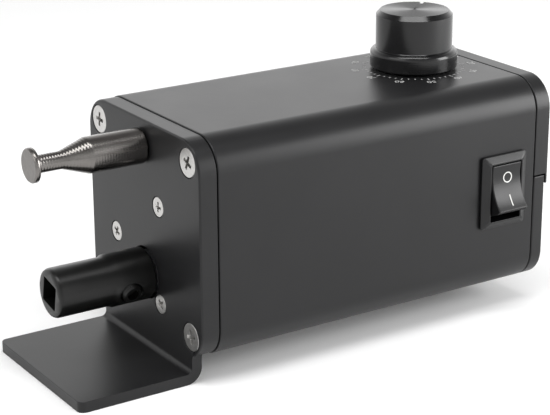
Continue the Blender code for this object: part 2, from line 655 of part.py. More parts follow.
def build_gearbox():
    """The gear case, its front flange with the boss, the bush and the output shaft."""
    output, second, first, motor = gear_places()
    pins = [circle(GEAR_PIN_RADIUS + 0.2, 16, place) for place in (second, first)]
    flange_back = CASE_FRONT + CASE_FLANGE
    screws = [circle(MOTOR_SCREW[1] + 0.1, 12, place) for place in motor_screw_places()]
    flange = prism(
        "gearbox_flange", circle(CASE_RADIUS, 48, motor), "Y", CASE_FRONT, flange_back, CAST_ZINC,
        [circle(BUSH_RADIUS + RUNNING_GAP, 32, output), *pins, *screws],
    )
    boss = circle(BOSS_OUTER, 32, output)
    bush_bore = circle(BUSH_RADIUS + RUNNING_GAP, 32, output)
    union_prism(flange, boss, "Y", BOSS_FRONT, CASE_FRONT + 1.0, [bush_bore])
    end_wall, inside = CASE_BACK - CASE_END_WALL, CASE_RADIUS - CASE_WALL
    profile = [
        (0.0, end_wall), (inside, end_wall), (inside, flange_back + GAP), (CASE_RADIUS, flange_back + GAP),
        (CASE_RADIUS, CASE_BACK), (0.0, CASE_BACK),
    ]
    case = lathe("gearbox_case", profile, "Y", (0.0, 0.0, MOTOR_Z), CAST_ZINC, 48)
    rear_bearing = circle(SHAFT_RADIUS + RUNNING_GAP, 24, output)
    pinion_hole = circle(PINION_HOLE, 24, motor)
    for index, hole in enumerate((rear_bearing, pinion_hole, *pins)):
        through_hole(case, f"case_hole_{index + 1}", hole, "Y", end_wall, CASE_BACK)
    axis = (0.0, 0.0, OUTPUT_Z)
    bush = [
        (SHAFT_RADIUS + RUNNING_GAP, BOSS_FRONT), (BUSH_RADIUS, BOSS_FRONT),
        (BUSH_RADIUS, flange_back), (SHAFT_RADIUS + RUNNING_GAP, flange_back),
    ]
    lathe("output_bush", bush, "Y", axis, BRONZE, 24, ring=True)
    shaft_front = SOCKET_FRONT + SOCKET_SQUARE_DEPTH + 3.0
    profile = [
        (0.0, shaft_front), (SHAFT_RADIUS - 0.5, shaft_front), (SHAFT_RADIUS, shaft_front + 0.5),
        (SHAFT_RADIUS, CASE_BACK - 0.6), (0.0, CASE_BACK - 0.6),
    ]
    lathe("output_shaft", profile, "Y", axis, TURNED_STEEL, 24, pivot=axis)


def build_motor():
    """A brushed motor: can, magnets, armature, commutator, brushes and end cap."""
    motor = Vector((0.0, MOTOR_Z))
    axis = (0.0, 0.0, MOTOR_Z)
    inner = CAN_RADIUS - CAN_WALL
    profile = [
        (MOTOR_SHAFT_RADIUS + 0.2, CAN_FRONT), (4.8, CAN_FRONT),
        (CAN_RADIUS - 1.0, CAN_FRONT), (CAN_RADIUS, CAN_FRONT + 1.0),
        (CAN_RADIUS, CAN_BACK), (inner, CAN_BACK),
        (inner, CAN_FRONT + CAN_WALL), (MOTOR_SHAFT_RADIUS + 0.2, CAN_FRONT + CAN_WALL),
    ]
    lathe("motor_can", profile, "Y", axis, ZINC_STEEL, 40, ring=True)
    for index, middle in enumerate((0.0, math.pi)):
        reach = math.radians(62.0)
        outline = arc(motor, MAGNET_RADII[1], middle - reach, middle + reach, 10)
        outline += arc(motor, MAGNET_RADII[0], middle + reach, middle - reach, 10)
        prism(f"motor_magnet_{index + 1}", outline, "Y", *MAGNET_Y, FERRITE)
    outline = []
    for slot in range(ARMATURE_SLOTS):
        start = 2 * math.pi * slot / ARMATURE_SLOTS
        step = 2 * math.pi / ARMATURE_SLOTS
        outline += arc(motor, ARMATURE_RADIUS, start + 0.09, start + step - 0.09, 6)
        outline.append((motor.x + 6.0 * math.cos(start + step), motor.y + 6.0 * math.sin(start + step)))
    bore = circle(MOTOR_SHAFT_RADIUS + 0.05, 16, motor)
    prism("armature", outline, "Y", *ARMATURE_Y, COPPER, [bore], axis)
    prism("commutator", circle(COMMUTATOR_RADIUS, 20, motor), "Y", *COMMUTATOR_Y, COPPER, [bore], axis)
    rod("motor_shaft", MOTOR_SHAFT_RADIUS, *MOTOR_SHAFT_Y, axis, TURNED_STEEL, 16)
    for index, side in enumerate((-1, 1)):
        u = [side * (COMMUTATOR_RADIUS + 0.3), side * (COMMUTATOR_RADIUS + 5.0)]
        block = [(u[0], MOTOR_Z - 1.5), (u[1], MOTOR_Z - 1.5), (u[1], MOTOR_Z + 1.5), (u[0], MOTOR_Z + 1.5)]
        prism(f"motor_brush_{index + 1}", block, "Y", 54.8, 57.4, FERRITE)
    cap_bore = circle(MOTOR_SHAFT_RADIUS + 0.2, 16, motor)
    cap = circle(inner - 0.3, 40, motor)
    prism("motor_end_cap", cap, "Y", 58.8, CAN_BACK + 0.2, END_CAP_PLASTIC, [cap_bore])
    for index, side in enumerate((-1, 1)):
        u = side * 9.0
        tab = [
            (u - 1.5, MOTOR_Z - 0.3), (u + 1.5, MOTOR_Z - 0.3),
            (u + 1.5, MOTOR_Z + 0.3), (u - 1.5, MOTOR_Z + 0.3),
        ]
        prism(f"motor_terminal_{index + 1}", tab, "Y", CAN_BACK + 0.5, CAN_BACK + 5.5, BRASS)


def build_speed_control():
    """The knob on its potentiometer, and the board that drives the motor."""
    axis = (KNOB_X, KNOB_Y, 0.0)
    profile = [(radius, KNOB_BASE + height) for radius, height in KNOB_PROFILE]
    bore = POT_SHAFT_RADIUS + 0.1
    profile += [(0.0, KNOB_BASE + 16.4), (0.0, 43.5), (bore, 43.5)]
    profile += [(bore, 35.0), (7.2, 35.0), (7.2, KNOB_BASE)]
    knob = lathe("speed_knob", profile, "Z", axis, BLACK_ANODISED, 48, ring=True, pivot=axis)
    radius, top = 9.4, KNOB_BASE + 16.4
    notch = [(radius - 1.2, -0.45), (radius + 3.0, -0.45), (radius + 3.0, 0.45), (radius - 1.2, 0.45)]
    cos, sin = math.cos(KNOB_POINTER), math.sin(KNOB_POINTER)
    notch = [(KNOB_X + u * cos - v * sin, KNOB_Y + u * sin + v * cos) for u, v in notch]
    boolean(knob, prism("pointer_notch", notch, "Z", top - 1.4, top + 1.0, None, guide=True))
    profile = [
        (0.0, POT_Z[0]), (POT_RADIUS - 0.5, POT_Z[0]), (POT_RADIUS, POT_Z[0] + 0.5), (POT_RADIUS, POT_Z[1]),
        (BUSHING_RADIUS, POT_Z[1]), (BUSHING_RADIUS, BUSHING_TOP),
        (bore, BUSHING_TOP), (bore, POT_SHAFT_Z[0] - 0.3),
        (0.0, POT_SHAFT_Z[0] - 0.3),
    ]
    lathe("potentiometer", profile, "Z", axis, ZINC_STEEL, 32)
    profile = [
        (0.0, POT_SHAFT_Z[0]), (POT_SHAFT_RADIUS, POT_SHAFT_Z[0]),
        (POT_SHAFT_RADIUS, POT_SHAFT_Z[1]), (0.0, POT_SHAFT_Z[1]),
    ]
    lathe("potentiometer_shaft", profile, "Z", axis, BRASS, 24, pivot=axis)
    hexagon = circle(POT_NUT_ACROSS / math.sqrt(3), 6, axis[:2])
    nut_bore = circle(BUSHING_RADIUS + 0.1, 24, axis[:2])
    prism("potentiometer_nut", hexagon, "Z", *POT_NUT_Z, ZINC_STEEL, [nut_bore])
    (left, right), (front, back) = BOARD_X, BOARD_Y
    board = [(left, front), (right, front), (right, back), (left, back)]
    prism("speed_board", board, "Z", *BOARD_Z, CIRCUIT_BOARD)
    above = BOARD_Z[1] + GAP
    profile = [(0.0, above), (4.0, above), (4.0, above + 11.0), (3.5, above + 11.5), (0.0, above + 11.5)]
    lathe("board_capacitor", profile, "Z", (-19.5, 75.5, 0.0), BLACK_ANODISED, 24)
    fins = [(-12.0, above)]
    for index in range(5):
        u = -12.0 + 2.6 * index
        fins += [(u, above + 9.0), (u + 1.0, above + 9.0), (u + 1.0, above + 1.6), (u + 2.6, above + 1.6)]
    fins = fins[:-1] + [(u + 1.0, above)]
    prism("heat_sink", fins, "Y", 71.0, 79.0, BLACK_ANODISED)
    block = [(-24.0, 84.0), (-14.0, 84.0), (-14.0, 92.0), (-24.0, 92.0)]
    prism("terminal_block", block, "Z", above, above + 8.0, CIRCUIT_BOARD)


def switch_ring(size, x, radius=0.8):
    outline = rounded_rectangle(size[0], size[1], radius, (SWITCH_Y, SWITCH_Z), 3)
    return [(x, y, z) for y, z in outline]


def build_switch():
    """The rocker switch: body with a sloping bezel, the rocker on its pin and two terminals."""
    face = HOUSING_SIDE / 2
    back = face - SWITCH_DEPTH
    frame = (BEZEL_OPENING[0] + 0.5, BEZEL_OPENING[1] + 0.5)
    body = loft("switch_body", [
        switch_ring(BEZEL_OPENING, back + 2.0, 0.3), switch_ring(BEZEL_OPENING, face + BEZEL_PROUD, 0.3),
        switch_ring(frame, face + BEZEL_PROUD, 0.4), switch_ring(BEZEL_SIZE, face + BEZEL_EDGE),
        switch_ring(BEZEL_SIZE, face + GAP), switch_ring(BEZEL_BODY, face + GAP, 0.5),
        switch_ring(BEZEL_BODY, back, 0.5),
    ], SWITCH_PLASTIC)
    pivot = (ROCKER_PIVOT_X, SWITCH_Y, SWITCH_Z)
    width = BEZEL_BODY[0] / 2 - 0.4
    hole = circle(ROCKER_PIN_RADIUS + 0.15, 16, (ROCKER_PIVOT_X, SWITCH_Z))
    low, high = SWITCH_Y - width - 2.0, SWITCH_Y + width + 2.0
    boolean(body, prism("rocker_pin_holes", hole, "Y", low, high, None, guide=True))
    tip_u, tip_v = ROCKER_TIP * math.cos(ROCKER_TIP_TURN), ROCKER_TIP * math.sin(ROCKER_TIP_TURN)
    half = [(5.0, 0.0), (5.15, 1.6), (5.7, 3.9), (tip_u, tip_v)]
    half += [(tip_u - 0.9, tip_v + 0.4), (1.5, 7.55), (-1.6, 7.2)]
    profile = half + [(u, -v) for u, v in reversed(half[1:])]
    cos, sin = math.cos(ROCKER_REST), math.sin(ROCKER_REST)
    outline = [(ROCKER_PIVOT_X + u * cos - v * sin, SWITCH_Z + u * sin + v * cos) for u, v in profile]
    low, high = SWITCH_Y - ROCKER_WIDTH / 2, SWITCH_Y + ROCKER_WIDTH / 2
    rocker = prism("switch_rocker", outline, "Y", low, high, SWITCH_PLASTIC, pivot=pivot)
    pin = circle(ROCKER_PIN_RADIUS, 16, (ROCKER_PIVOT_X, SWITCH_Z))
    union_prism(rocker, pin, "Y", SWITCH_Y - width, SWITCH_Y + width, pivot=pivot)
    for index, side in enumerate((-1, 1)):
        z = SWITCH_Z + side * 4.5
        blade = [
            (SWITCH_Y - 2.4, z - 0.4), (SWITCH_Y + 2.4, z - 0.4),
            (SWITCH_Y + 2.4, z + 0.4), (SWITCH_Y - 2.4, z + 0.4),
        ]
        prism(f"switch_terminal_{index + 1}", blade, "X", back - 8.3, back - GAP, BRASS)


def build_power_inlet():
    """A round low-voltage inlet through the lower cover, and its nut."""
    front, mouth = 99.0, INLET_BACK
    shoulder = COVER_FRONT - 1.6
    profile = [
        (0.0, front), (6.4, front), (6.4, shoulder), (INLET_RADIUS, shoulder), (INLET_RADIUS, mouth - 0.4),
        (INLET_RADIUS - 0.4, mouth), (3.2, mouth), (3.2, mouth - 9.5),
        (1.0, mouth - 9.5), (1.0, mouth - 1.2), (0.0, mouth - 0.8),
    ]
    lathe("power_inlet", profile, "Y", (INLET_X, 0.0, INLET_Z), SWITCH_PLASTIC, 32)
    hexagon = circle(7.4, 6, (INLET_X, INLET_Z), math.pi / 6)
    bore = circle(INLET_RADIUS + 0.15, 32, (INLET_X, INLET_Z))
    prism("power_inlet_nut", hexagon, "Y", LOWER_BACK + GAP, LOWER_BACK + GAP + 2.2, ZINC_STEEL, [bore])


def build_rear_foot():
    """The round rubber foot that levels the housing with the front foot, and its screw."""
    centre = (0.0, REAR_FOOT_Y, 0.0)
    top = -HOUSING_SIDE / 2 - GAP
    profile = [
        (2.0, top), (REAR_FOOT_RADIUS, top), (REAR_FOOT_RADIUS, FLOOR + 0.6), (REAR_FOOT_RADIUS - 0.6, FLOOR),
        (4.2, FLOOR), (4.2, FLOOR + 3.0), (2.0, FLOOR + 3.0),
    ]
    lathe("rear_foot", profile, "Z", centre, RUBBER, 32, ring=True)
    seat, shank, tip = FLOOR + 2.7, REAR_FOOT_SCREW, -24.0
    profile = [
        (0.0, seat - 2.2), (3.0, seat - 2.2), (3.4, seat - 1.8), (3.4, seat),
        (shank, seat), (shank, tip), (0.0, tip),
    ]
    lathe("rear_foot_screw", profile, "Z", centre, ZINC_STEEL, 20)


def smooth_route(points, per_span=5):
    """Points on a smooth curve through the route's own points."""
    ends = [points[0], *points, points[-1]]
    route = []
    for a, b, c, d in zip(ends, ends[1:], ends[2:], ends[3:]):
        for k in range(per_span):
            t = k / per_span
            curve = 2 * b + (c - a) * t + (2 * a - 5 * b + 4 * c - d) * t**2 + (3 * b - a - 3 * c + d) * t**3
            route.append(curve / 2)
    return [*route, points[-1]]


def wire(name, places, material):
    """One insulated lead inside the housing."""
    route = smooth_route([Vector(place) * MM for place in places])
    curve = bpy.data.curves.new(name, "CURVE")
    curve.dimensions = "3D"
    curve.bevel_depth = 0.8 * MM
    curve.bevel_resolution = 2
    curve.use_fill_caps = True
    spline = curve.splines.new("POLY")
    spline.points.add(len(route) - 1)
    for spot, place in zip(spline.points, route):
        spot.co = (*place, 1.0)
    made = bpy.data.objects.new(name, curve)
    made.parent = unit
    curve.materials.append(material)
    bpy.context.scene.collection.objects.link(made)


def build_wires():
    """Motor leads to the board, and the supply lead from the inlet by way of the switch."""
    red = [
        (-9.0, 68.3, -6.2), (-9.0, 72.0, -6.2), (-12.0, 78.0, -6.0),
        (-17.0, 84.0, -3.0), (-18.0, 86.0, 2.9),
    ]
    wire("motor_lead_red", red, RED_WIRE)
    black = [(9.0, 68.3, -6.2), (8.0, 72.0, -6.2), (4.0, 76.0, -5.0), (-1.0, 80.0, -2.0), (-2.0, 82.0, 2.9)]
    wire("motor_lead_black", black, BLACK_WIRE)
    supply = [
        (-13.0, 97.8, -14.0), (-11.0, 94.0, -14.0), (-4.0, 92.0, -11.0),
        (2.0, 95.0, -6.5), (6.4, 98.0, -4.2),
    ]
    wire("supply_lead", supply, RED_WIRE)


build_housing()
build_front_plate()
build_rear_covers()
build_front_screws()
build_locating_pin()
build_drive_socket()
build_gearbox()
build_gears()
build_motor()
build_speed_control()
build_switch()
build_power_inlet()
build_rear_foot()
build_wires()
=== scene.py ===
"""The finished look of a compact geared motor drive unit, built round its CAD model.

Sizes are in millimetres in the unit's own frame: X to the right as seen from the front, Y to the
back, Z up, with zero on the housing's centre line and on the front plate's face. at() turns a point
of that frame into metres in the CAD model's frame.
"""

import math
from contextlib import contextmanager

import bmesh
import bpy
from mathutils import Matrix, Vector


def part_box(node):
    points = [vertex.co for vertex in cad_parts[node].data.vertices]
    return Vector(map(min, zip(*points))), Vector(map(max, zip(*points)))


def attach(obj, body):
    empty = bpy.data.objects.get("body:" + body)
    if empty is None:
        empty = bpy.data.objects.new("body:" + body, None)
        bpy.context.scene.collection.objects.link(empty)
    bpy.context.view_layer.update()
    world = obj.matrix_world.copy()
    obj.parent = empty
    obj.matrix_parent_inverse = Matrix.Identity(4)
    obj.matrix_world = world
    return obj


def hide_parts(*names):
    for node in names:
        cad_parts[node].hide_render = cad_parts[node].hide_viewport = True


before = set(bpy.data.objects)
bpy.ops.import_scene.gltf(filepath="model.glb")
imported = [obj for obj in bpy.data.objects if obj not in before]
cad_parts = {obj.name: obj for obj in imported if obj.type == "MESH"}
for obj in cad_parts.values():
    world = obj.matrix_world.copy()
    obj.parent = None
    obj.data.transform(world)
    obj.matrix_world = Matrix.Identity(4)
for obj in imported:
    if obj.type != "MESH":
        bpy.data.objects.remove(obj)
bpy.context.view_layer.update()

MM = 0.001

# The housing and the front plate with its foot.
PLATE_THICK = 5.2
PLATE_HALF = 29.75
PLATE_CORNER = 8.8
HOUSING_CORNER = 9.0
HOUSING_WALL = 2.5
LEG_HALF = 24.2
LEG_THICK = 3.0
LEG_FILLET = 2.2

# Each kind of screw: head and shank radius, its cross's reach, width and depth, and each one's turn.
SCREW_KINDS = {
    "corner": (3.85, 1.95, 2.0, 0.95, 2.1, (0.1, 0.4, -0.2, 0.75)),
    "motor": (2.75, 1.45, 1.45, 0.75, 1.6, (0.5, 0.1, 0.9)),
    "rear": (3.85, 1.95, 2.0, 0.95, 2.1, (0.3, -0.1, 0.6, 0.2)),
}

# The drive socket at rest, and its set screw.
SOCKET_TURN = math.radians(-12.0)
SET_SCREW_TURN = math.radians(-20.0)
SET_SCREW_Y = -7.6

# The knob's notch and the dial, in degrees round the knob.
NOTCH_TURN = 130.0
DIAL_START = 130.0
DIAL_STEP = -30.0
DIAL_TICKS_PER_STEP = 4
DIAL_RADIUS = 13.7
DIAL_NUMBER_RADIUS = 17.2

# The rocker's pivot, and its tips measured from there.
ROCKER_PIVOT_X = 27.7
ROCKER_TIP = 9.3
ROCKER_TIP_TURN = math.radians(44.3)
ROCKER_REST = math.radians(16.0)

housing_low, housing_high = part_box("housing")
ORIGIN = (housing_low + housing_high) / 2
ORIGIN.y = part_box("front_plate")[1].y - PLATE_THICK * MM


def at(x, y, z):
    """A point of the unit's frame, in metres in the CAD model's frame."""
    return ORIGIN + Vector((x, y, z)) * MM


def span(node_name):
    """The lowest and highest corners of a CAD node, in the unit's millimetres."""
    low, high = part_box(node_name)
    return (low - ORIGIN) / MM, (high - ORIGIN) / MM


def middle(node_name):
    """The middle of a CAD node's box, in the unit's millimetres."""
    low, high = span(node_name)
    return (low + high) / 2


HALF = span("housing")[1].x
HOUSING_FRONT = span("housing")[0].y
HOUSING_BACK = span("housing")[1].y
FLOOR = span("front_plate")[0].z
FOOT_REACH = -span("front_plate")[0].y
SCREW_OFFSET = middle("corner_screw_2").x
OUTPUT_Z = middle("output_shaft").z
PIN_Z = middle("locating_pin").z
KNOB = middle("speed_knob")
SWITCH = middle("switch_body")
REAR_FOOT = middle("rear_foot")
INLET = middle("power_inlet")

# ---------------------------------------------------------------- modelling


def deselect():
    """Leaves nothing selected."""
    bpy.ops.object.select_all(action="DESELECT")


def only(piece):
    """Makes the piece the active and only selected object."""
    deselect()
    piece.select_set(True)
    bpy.context.view_layer.objects.active = piece


def settle(piece):
    """Puts the piece's place into its mesh, with its object at the origin."""
    only(piece)
    bpy.ops.object.transform_apply(location=True, rotation=True, scale=True)
    return piece


@contextmanager
def editing(piece):
    """Edit mode on the piece, starting with its vertices."""
    only(piece)
    bpy.ops.object.mode_set(mode="EDIT")
    bpy.ops.mesh.select_mode(type="VERT")
    yield
    bpy.ops.object.mode_set(mode="OBJECT")


def pick(piece, kind, test):
    """In edit mode, selects the VERT, EDGE or FACE elements that pass the test, and no others."""
    bpy.ops.mesh.select_mode(type=kind)
    bpy.ops.mesh.select_all(action="DESELECT")
    mesh = bmesh.from_edit_mesh(piece.data)
    for item in {"VERT": mesh.verts, "EDGE": mesh.edges, "FACE": mesh.faces}[kind]:
        if test(item):
            item.select_set(True)
    mesh.select_flush_mode()
    bmesh.update_edit_mesh(piece.data)


def name_it(piece, name):
    """Names the piece and its mesh."""
    piece.name = name
    piece.data.name = name
    return piece


def block(name, low, high):
    """A box between two corners."""
    deselect()
    low, high = Vector(low), Vector(high)
    bpy.ops.mesh.primitive_cube_add(size=1.0, location=at(*(low + high) / 2))
    piece = name_it(bpy.context.object, name)
    piece.scale = (high - low) * MM
    return settle(piece)


TURNS = {
    "X": (0.0, math.pi / 2, 0.0),
    "Y": (-math.pi / 2, 0.0, 0.0),
    "-Y": (math.pi / 2, 0.0, 0.0),
    "Z": (0.0, 0.0, 0.0),
    "-Z": (math.pi, 0.0, 0.0),
}


def turned(name, profile, axis, centre, segments=96, hollow=False):
    """A lathe shape: a disc or a ring is pulled out step by step along (radius, height) pairs."""
    deselect()
    radius, height = profile[0]
    fill = "NOTHING" if hollow else "NGON"
    bpy.ops.mesh.primitive_circle_add(vertices=segments, radius=radius * MM, fill_type=fill)
    piece = name_it(bpy.context.object, name)
    with editing(piece):
        bpy.ops.mesh.select_all(action="SELECT")
        bpy.ops.transform.translate(value=(0.0, 0.0, height * MM))
        for (radius, height), (wider, higher) in zip(profile, profile[1:]):
            rise, ratio = (higher - height) * MM, wider / radius
            bpy.ops.mesh.extrude_region_move(TRANSFORM_OT_translate={"value": (0.0, 0.0, rise)})
            bpy.ops.transform.resize(value=(ratio, ratio, 1.0), center_override=(0.0, 0.0, 0.0))
        if hollow and len(profile) > 2:
            pick(piece, "EDGE", lambda edge: edge.is_boundary)
            bpy.ops.mesh.bridge_edge_loops()
        bpy.ops.mesh.select_all(action="SELECT")
        bpy.ops.mesh.normals_make_consistent(inside=False)
    piece.rotation_euler = TURNS[axis]
    piece.location = at(*centre)
    return settle(piece)


SLAB_TURNS = {"X": (math.pi / 2, 0.0, math.pi / 2), "Y": (math.pi / 2, 0.0, 0.0), "Z": (0.0, 0.0, 0.0)}


def slab(name, corners, axis, low, high, steps=12):
    """A flat outline of corners (u, v, radius), its corners bevelled round, pulled to its thickness."""
    deselect()
    bpy.ops.mesh.primitive_circle_add(vertices=len(corners), radius=MM, fill_type="NGON")
    piece = name_it(bpy.context.object, name)
    for vert, (u, v, _) in zip(piece.data.vertices, corners):
        vert.co = (u * MM, v * MM, 0.0)
    side = -1.0 if axis == "Y" else 1.0
    with editing(piece):
        for radius in sorted({corner[2] for corner in corners if corner[2] > 0.0}):
            spots = [Vector((u, v, 0.0)) * MM for u, v, r in corners if r == radius]
            pick(piece, "VERT", lambda vert: min((vert.co - spot).length for spot in spots) < 0.001 * MM)
            bpy.ops.mesh.bevel(offset=radius * MM, segments=steps, affect="VERTICES", clamp_overlap=False)
        bpy.ops.mesh.select_all(action="SELECT")
        bpy.ops.transform.translate(value=(0.0, 0.0, side * low * MM))
        reach = side * (high - low) * MM
        bpy.ops.mesh.extrude_region_move(TRANSFORM_OT_translate={"value": (0.0, 0.0, reach)})
        bpy.ops.mesh.select_all(action="SELECT")
        bpy.ops.mesh.normals_make_consistent(inside=False)
    piece.rotation_euler = SLAB_TURNS[axis]
    piece.location = ORIGIN
    return settle(piece)


def apply_modifier(piece, kind, **settings):
    """Adds a modifier and applies it."""
    only(piece)
    made = piece.modifiers.new(kind.lower(), kind)
    for key, value in settings.items():
        setattr(made, key, value)
    bpy.ops.object.modifier_apply(modifier=made.name)
    return piece


def combine(piece, tool, operation="DIFFERENCE"):
    """Cuts the tool out of the piece, or joins it on, and puts the tool away."""
    apply_modifier(piece, "BOOLEAN", operation=operation, object=tool, solver="EXACT")
    bpy.data.objects.remove(tool)
    return piece


def clean(piece):
    """Welds touching corners and makes flats one face each."""
    with editing(piece):
        bpy.ops.mesh.select_all(action="SELECT")
        bpy.ops.mesh.remove_doubles(threshold=0.01 * MM)
        bpy.ops.mesh.dissolve_limited(angle_limit=math.radians(0.3))
        bpy.ops.mesh.select_all(action="SELECT")
        bpy.ops.mesh.normals_make_consistent(inside=False)
    return piece


def refill(piece, test):
    """Fills a flat afresh, in triangles between its outline and its holes."""
    with editing(piece):
        pick(piece, "FACE", test)
        bpy.ops.mesh.delete(type="FACE")
        bpy.ops.mesh.select_mode(type="EDGE")
        bpy.ops.mesh.select_all(action="DESELECT")
        bpy.ops.mesh.select_non_manifold(
            extend=False, use_wire=False, use_boundary=True, use_multi_face=False,
            use_non_contiguous=False, use_verts=False,
        )
        bpy.ops.mesh.fill(use_beauty=True)
        bpy.ops.mesh.select_all(action="SELECT")
        bpy.ops.mesh.normals_make_consistent(inside=False)


def refill_flats(piece, axis, sign):
    """Refills every flat with holes that faces squarely along the axis, one level at a time."""
    index = "XYZ".index(axis)
    step = 0.01 * MM
    levels = {
        round(face.center[index] / step)
        for face in piece.data.polygons
        if face.normal[index] * sign > 0.9999 and len(face.vertices) > 8
    }
    for level in sorted(levels):
        refill(piece, lambda face: face.normal[index] * sign > 0.9999
               and round(face.calc_center_median()[index] / step) == level)


def sharper_than(edge, angle):
    """True where two faces meet at more than the angle in degrees."""
    return len(edge.link_faces) == 2 and edge.calc_face_angle() > math.radians(angle)


def ease(piece, width, segments=3, angle=35.0, where=None, elsewhere=1.0):
    """Rounds every edge sharper than the angle. Away from the edges named by where, the share
    elsewhere of the width is used."""
    clean(piece)
    with editing(piece):
        pick(piece, "EDGE", lambda edge: sharper_than(edge, angle))
        bpy.ops.transform.edge_bevelweight(value=elsewhere)
        if where is not None:
            pick(piece, "EDGE", lambda edge: sharper_than(edge, angle) and where(edge))
            bpy.ops.transform.edge_bevelweight(value=1.0 - elsewhere)
    return apply_modifier(
        piece, "BEVEL", width=width * MM, segments=segments, limit_method="WEIGHT",
        miter_outer="MITER_ARC", use_clamp_overlap=False,
    )


def smooth(piece, angle=40.0):
    """Smooth shading that keeps the flats flat."""
    only(piece)
    bpy.ops.object.shade_smooth_by_angle(angle=math.radians(angle))
    apply_modifier(piece, "WEIGHTED_NORMAL", keep_sharp=True, weight=60)
    return piece


def bend(centre, radius, start, end, steps=6):
    """Points along an arc, its angles in degrees."""
    points = []
    for step in range(steps + 1):
        turn = math.radians(start + (end - start) * step / steps)
        points.append((centre[0] + radius * math.cos(turn), centre[1] + radius * math.sin(turn)))
    return points


def drill(piece, radius, axis, centre, depth, segments=48):
    """A round hole from the centre along the axis."""
    tool = turned("drill", [(radius, -1.0), (radius, depth)], axis, centre, segments)
    return combine(piece, tool)


def square_corners(half_u, half_v, radius, u=0.0, v=0.0):
    """The corners of a rectangle about (u, v), for slab()."""
    return [
        (u - half_u, v - half_v, radius), (u + half_u, v - half_v, radius),
        (u + half_u, v + half_v, radius), (u - half_u, v + half_v, radius),
    ]


def copy_of(piece, name):
    """A copy with its own mesh."""
    twin = piece.copy()
    twin.data = piece.data.copy()
    bpy.context.scene.collection.objects.link(twin)
    return name_it(twin, name)


def present(piece, body, finish, slot, *nodes):
    """Gives the piece its finish and its body, and hides the CAD nodes it stands for."""
    piece.data.materials.clear()
    piece.data.materials.append(finish)
    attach(piece, body)
    if nodes:
        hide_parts(*nodes)
    return piece


# ---------------------------------------------------------------- finishes


def srgb(code):
    """A hex colour as linear values."""
    parts = [int(code[i:i + 2], 16) / 255 for i in (1, 3, 5)]
    linear = [part / 12.92 if part <= 0.04045 else ((part + 0.055) / 1.055) ** 2.4 for part in parts]
    return (*linear, 1.0)


def node(tree, kind, inputs=None, **settings):
    """Adds a node. Each input is a value or the output socket that feeds it."""
    made = tree.nodes.new(kind)
    for key, value in settings.items():
        setattr(made, key, value)
    for key, value in (inputs or {}).items():
        if isinstance(value, bpy.types.NodeSocket):
            tree.links.new(value, made.inputs[key])
        else:
            made.inputs[key].default_value = value
    return made


def surface(name, roughness, metallic=0.0, **constants):
    """A new material with its shader's constants set. Returns it with its tree, shader and coordinates."""
    made = bpy.data.materials.new(name)
    made.use_nodes = True
    tree = made.node_tree
    shader = tree.nodes["Principled BSDF"]
    shader.inputs["Roughness"].default_value = roughness
    shader.inputs["Metallic"].default_value = metallic
    for key, value in constants.items():
        shader.inputs[key.replace("_", " ")].default_value = value
    place = node(tree, "ShaderNodeTexCoord").outputs["Object"]
    return made, tree, shader, place


def grain(place, size, detail=2.0):
    """Inputs for a noise whose clouds are about the size in millimetres."""
    return {"Vector": place, "Scale": 1.0 / (size * MM), "Detail": detail}


def ridges(place, pitch, distortion=0.5):
    """Inputs for a wave whose ridges are the pitch in millimetres apart."""
    return {"Vector": place, "Scale": math.pi / (10 * pitch * MM), "Distortion": distortion}


def mottle(tree, shader, pattern, dark, light, low, high):
    """Lets a pattern vary the base colour and the roughness."""
    mix = node(tree, "ShaderNodeMix", {"Factor": pattern}, data_type="RGBA")
    mix.inputs[6].default_value = srgb(dark)
    mix.inputs[7].default_value = srgb(light)
    tree.links.new(mix.outputs[2], shader.inputs["Base Color"])
    spread = node(tree, "ShaderNodeMapRange", {"Value": pattern, "To Min": low, "To Max": high})
    tree.links.new(spread.outputs["Result"], shader.inputs["Roughness"])


def relief(tree, shader, height, depth, under=None):
    """Raises the surface by a pattern, whose full height is the depth in millimetres."""
    inputs = {"Height": height, "Distance": depth * MM, "Strength": 1.0}
    if under is not None:
        inputs["Normal"] = under
    bump = node(tree, "ShaderNodeBump", inputs)
    tree.links.new(bump.outputs["Normal"], shader.inputs["Normal"])
    return bump.outputs["Normal"]


def black_powder_coat():
    """Polyester powder coat, sprayed and baked on aluminium: satin black with a faint orange peel."""
    made, tree, shader, place = surface("black_powder_coat", 0.36, IOR=1.38)
    cloud = node(tree, "ShaderNodeTexNoise", grain(place, 18.0, 3.0)).outputs["Fac"]
    mottle(tree, shader, cloud, "#141415", "#1a1a1b", 0.33, 0.40)
    peel = node(tree, "ShaderNodeTexNoise", grain(place, 2.2, 1.0)).outputs["Fac"]
    under = relief(tree, shader, peel, 0.006)
    powder = node(tree, "ShaderNodeTexNoise", grain(place, 0.35)).outputs["Fac"]
    relief(tree, shader, powder, 0.004, under)
    return made


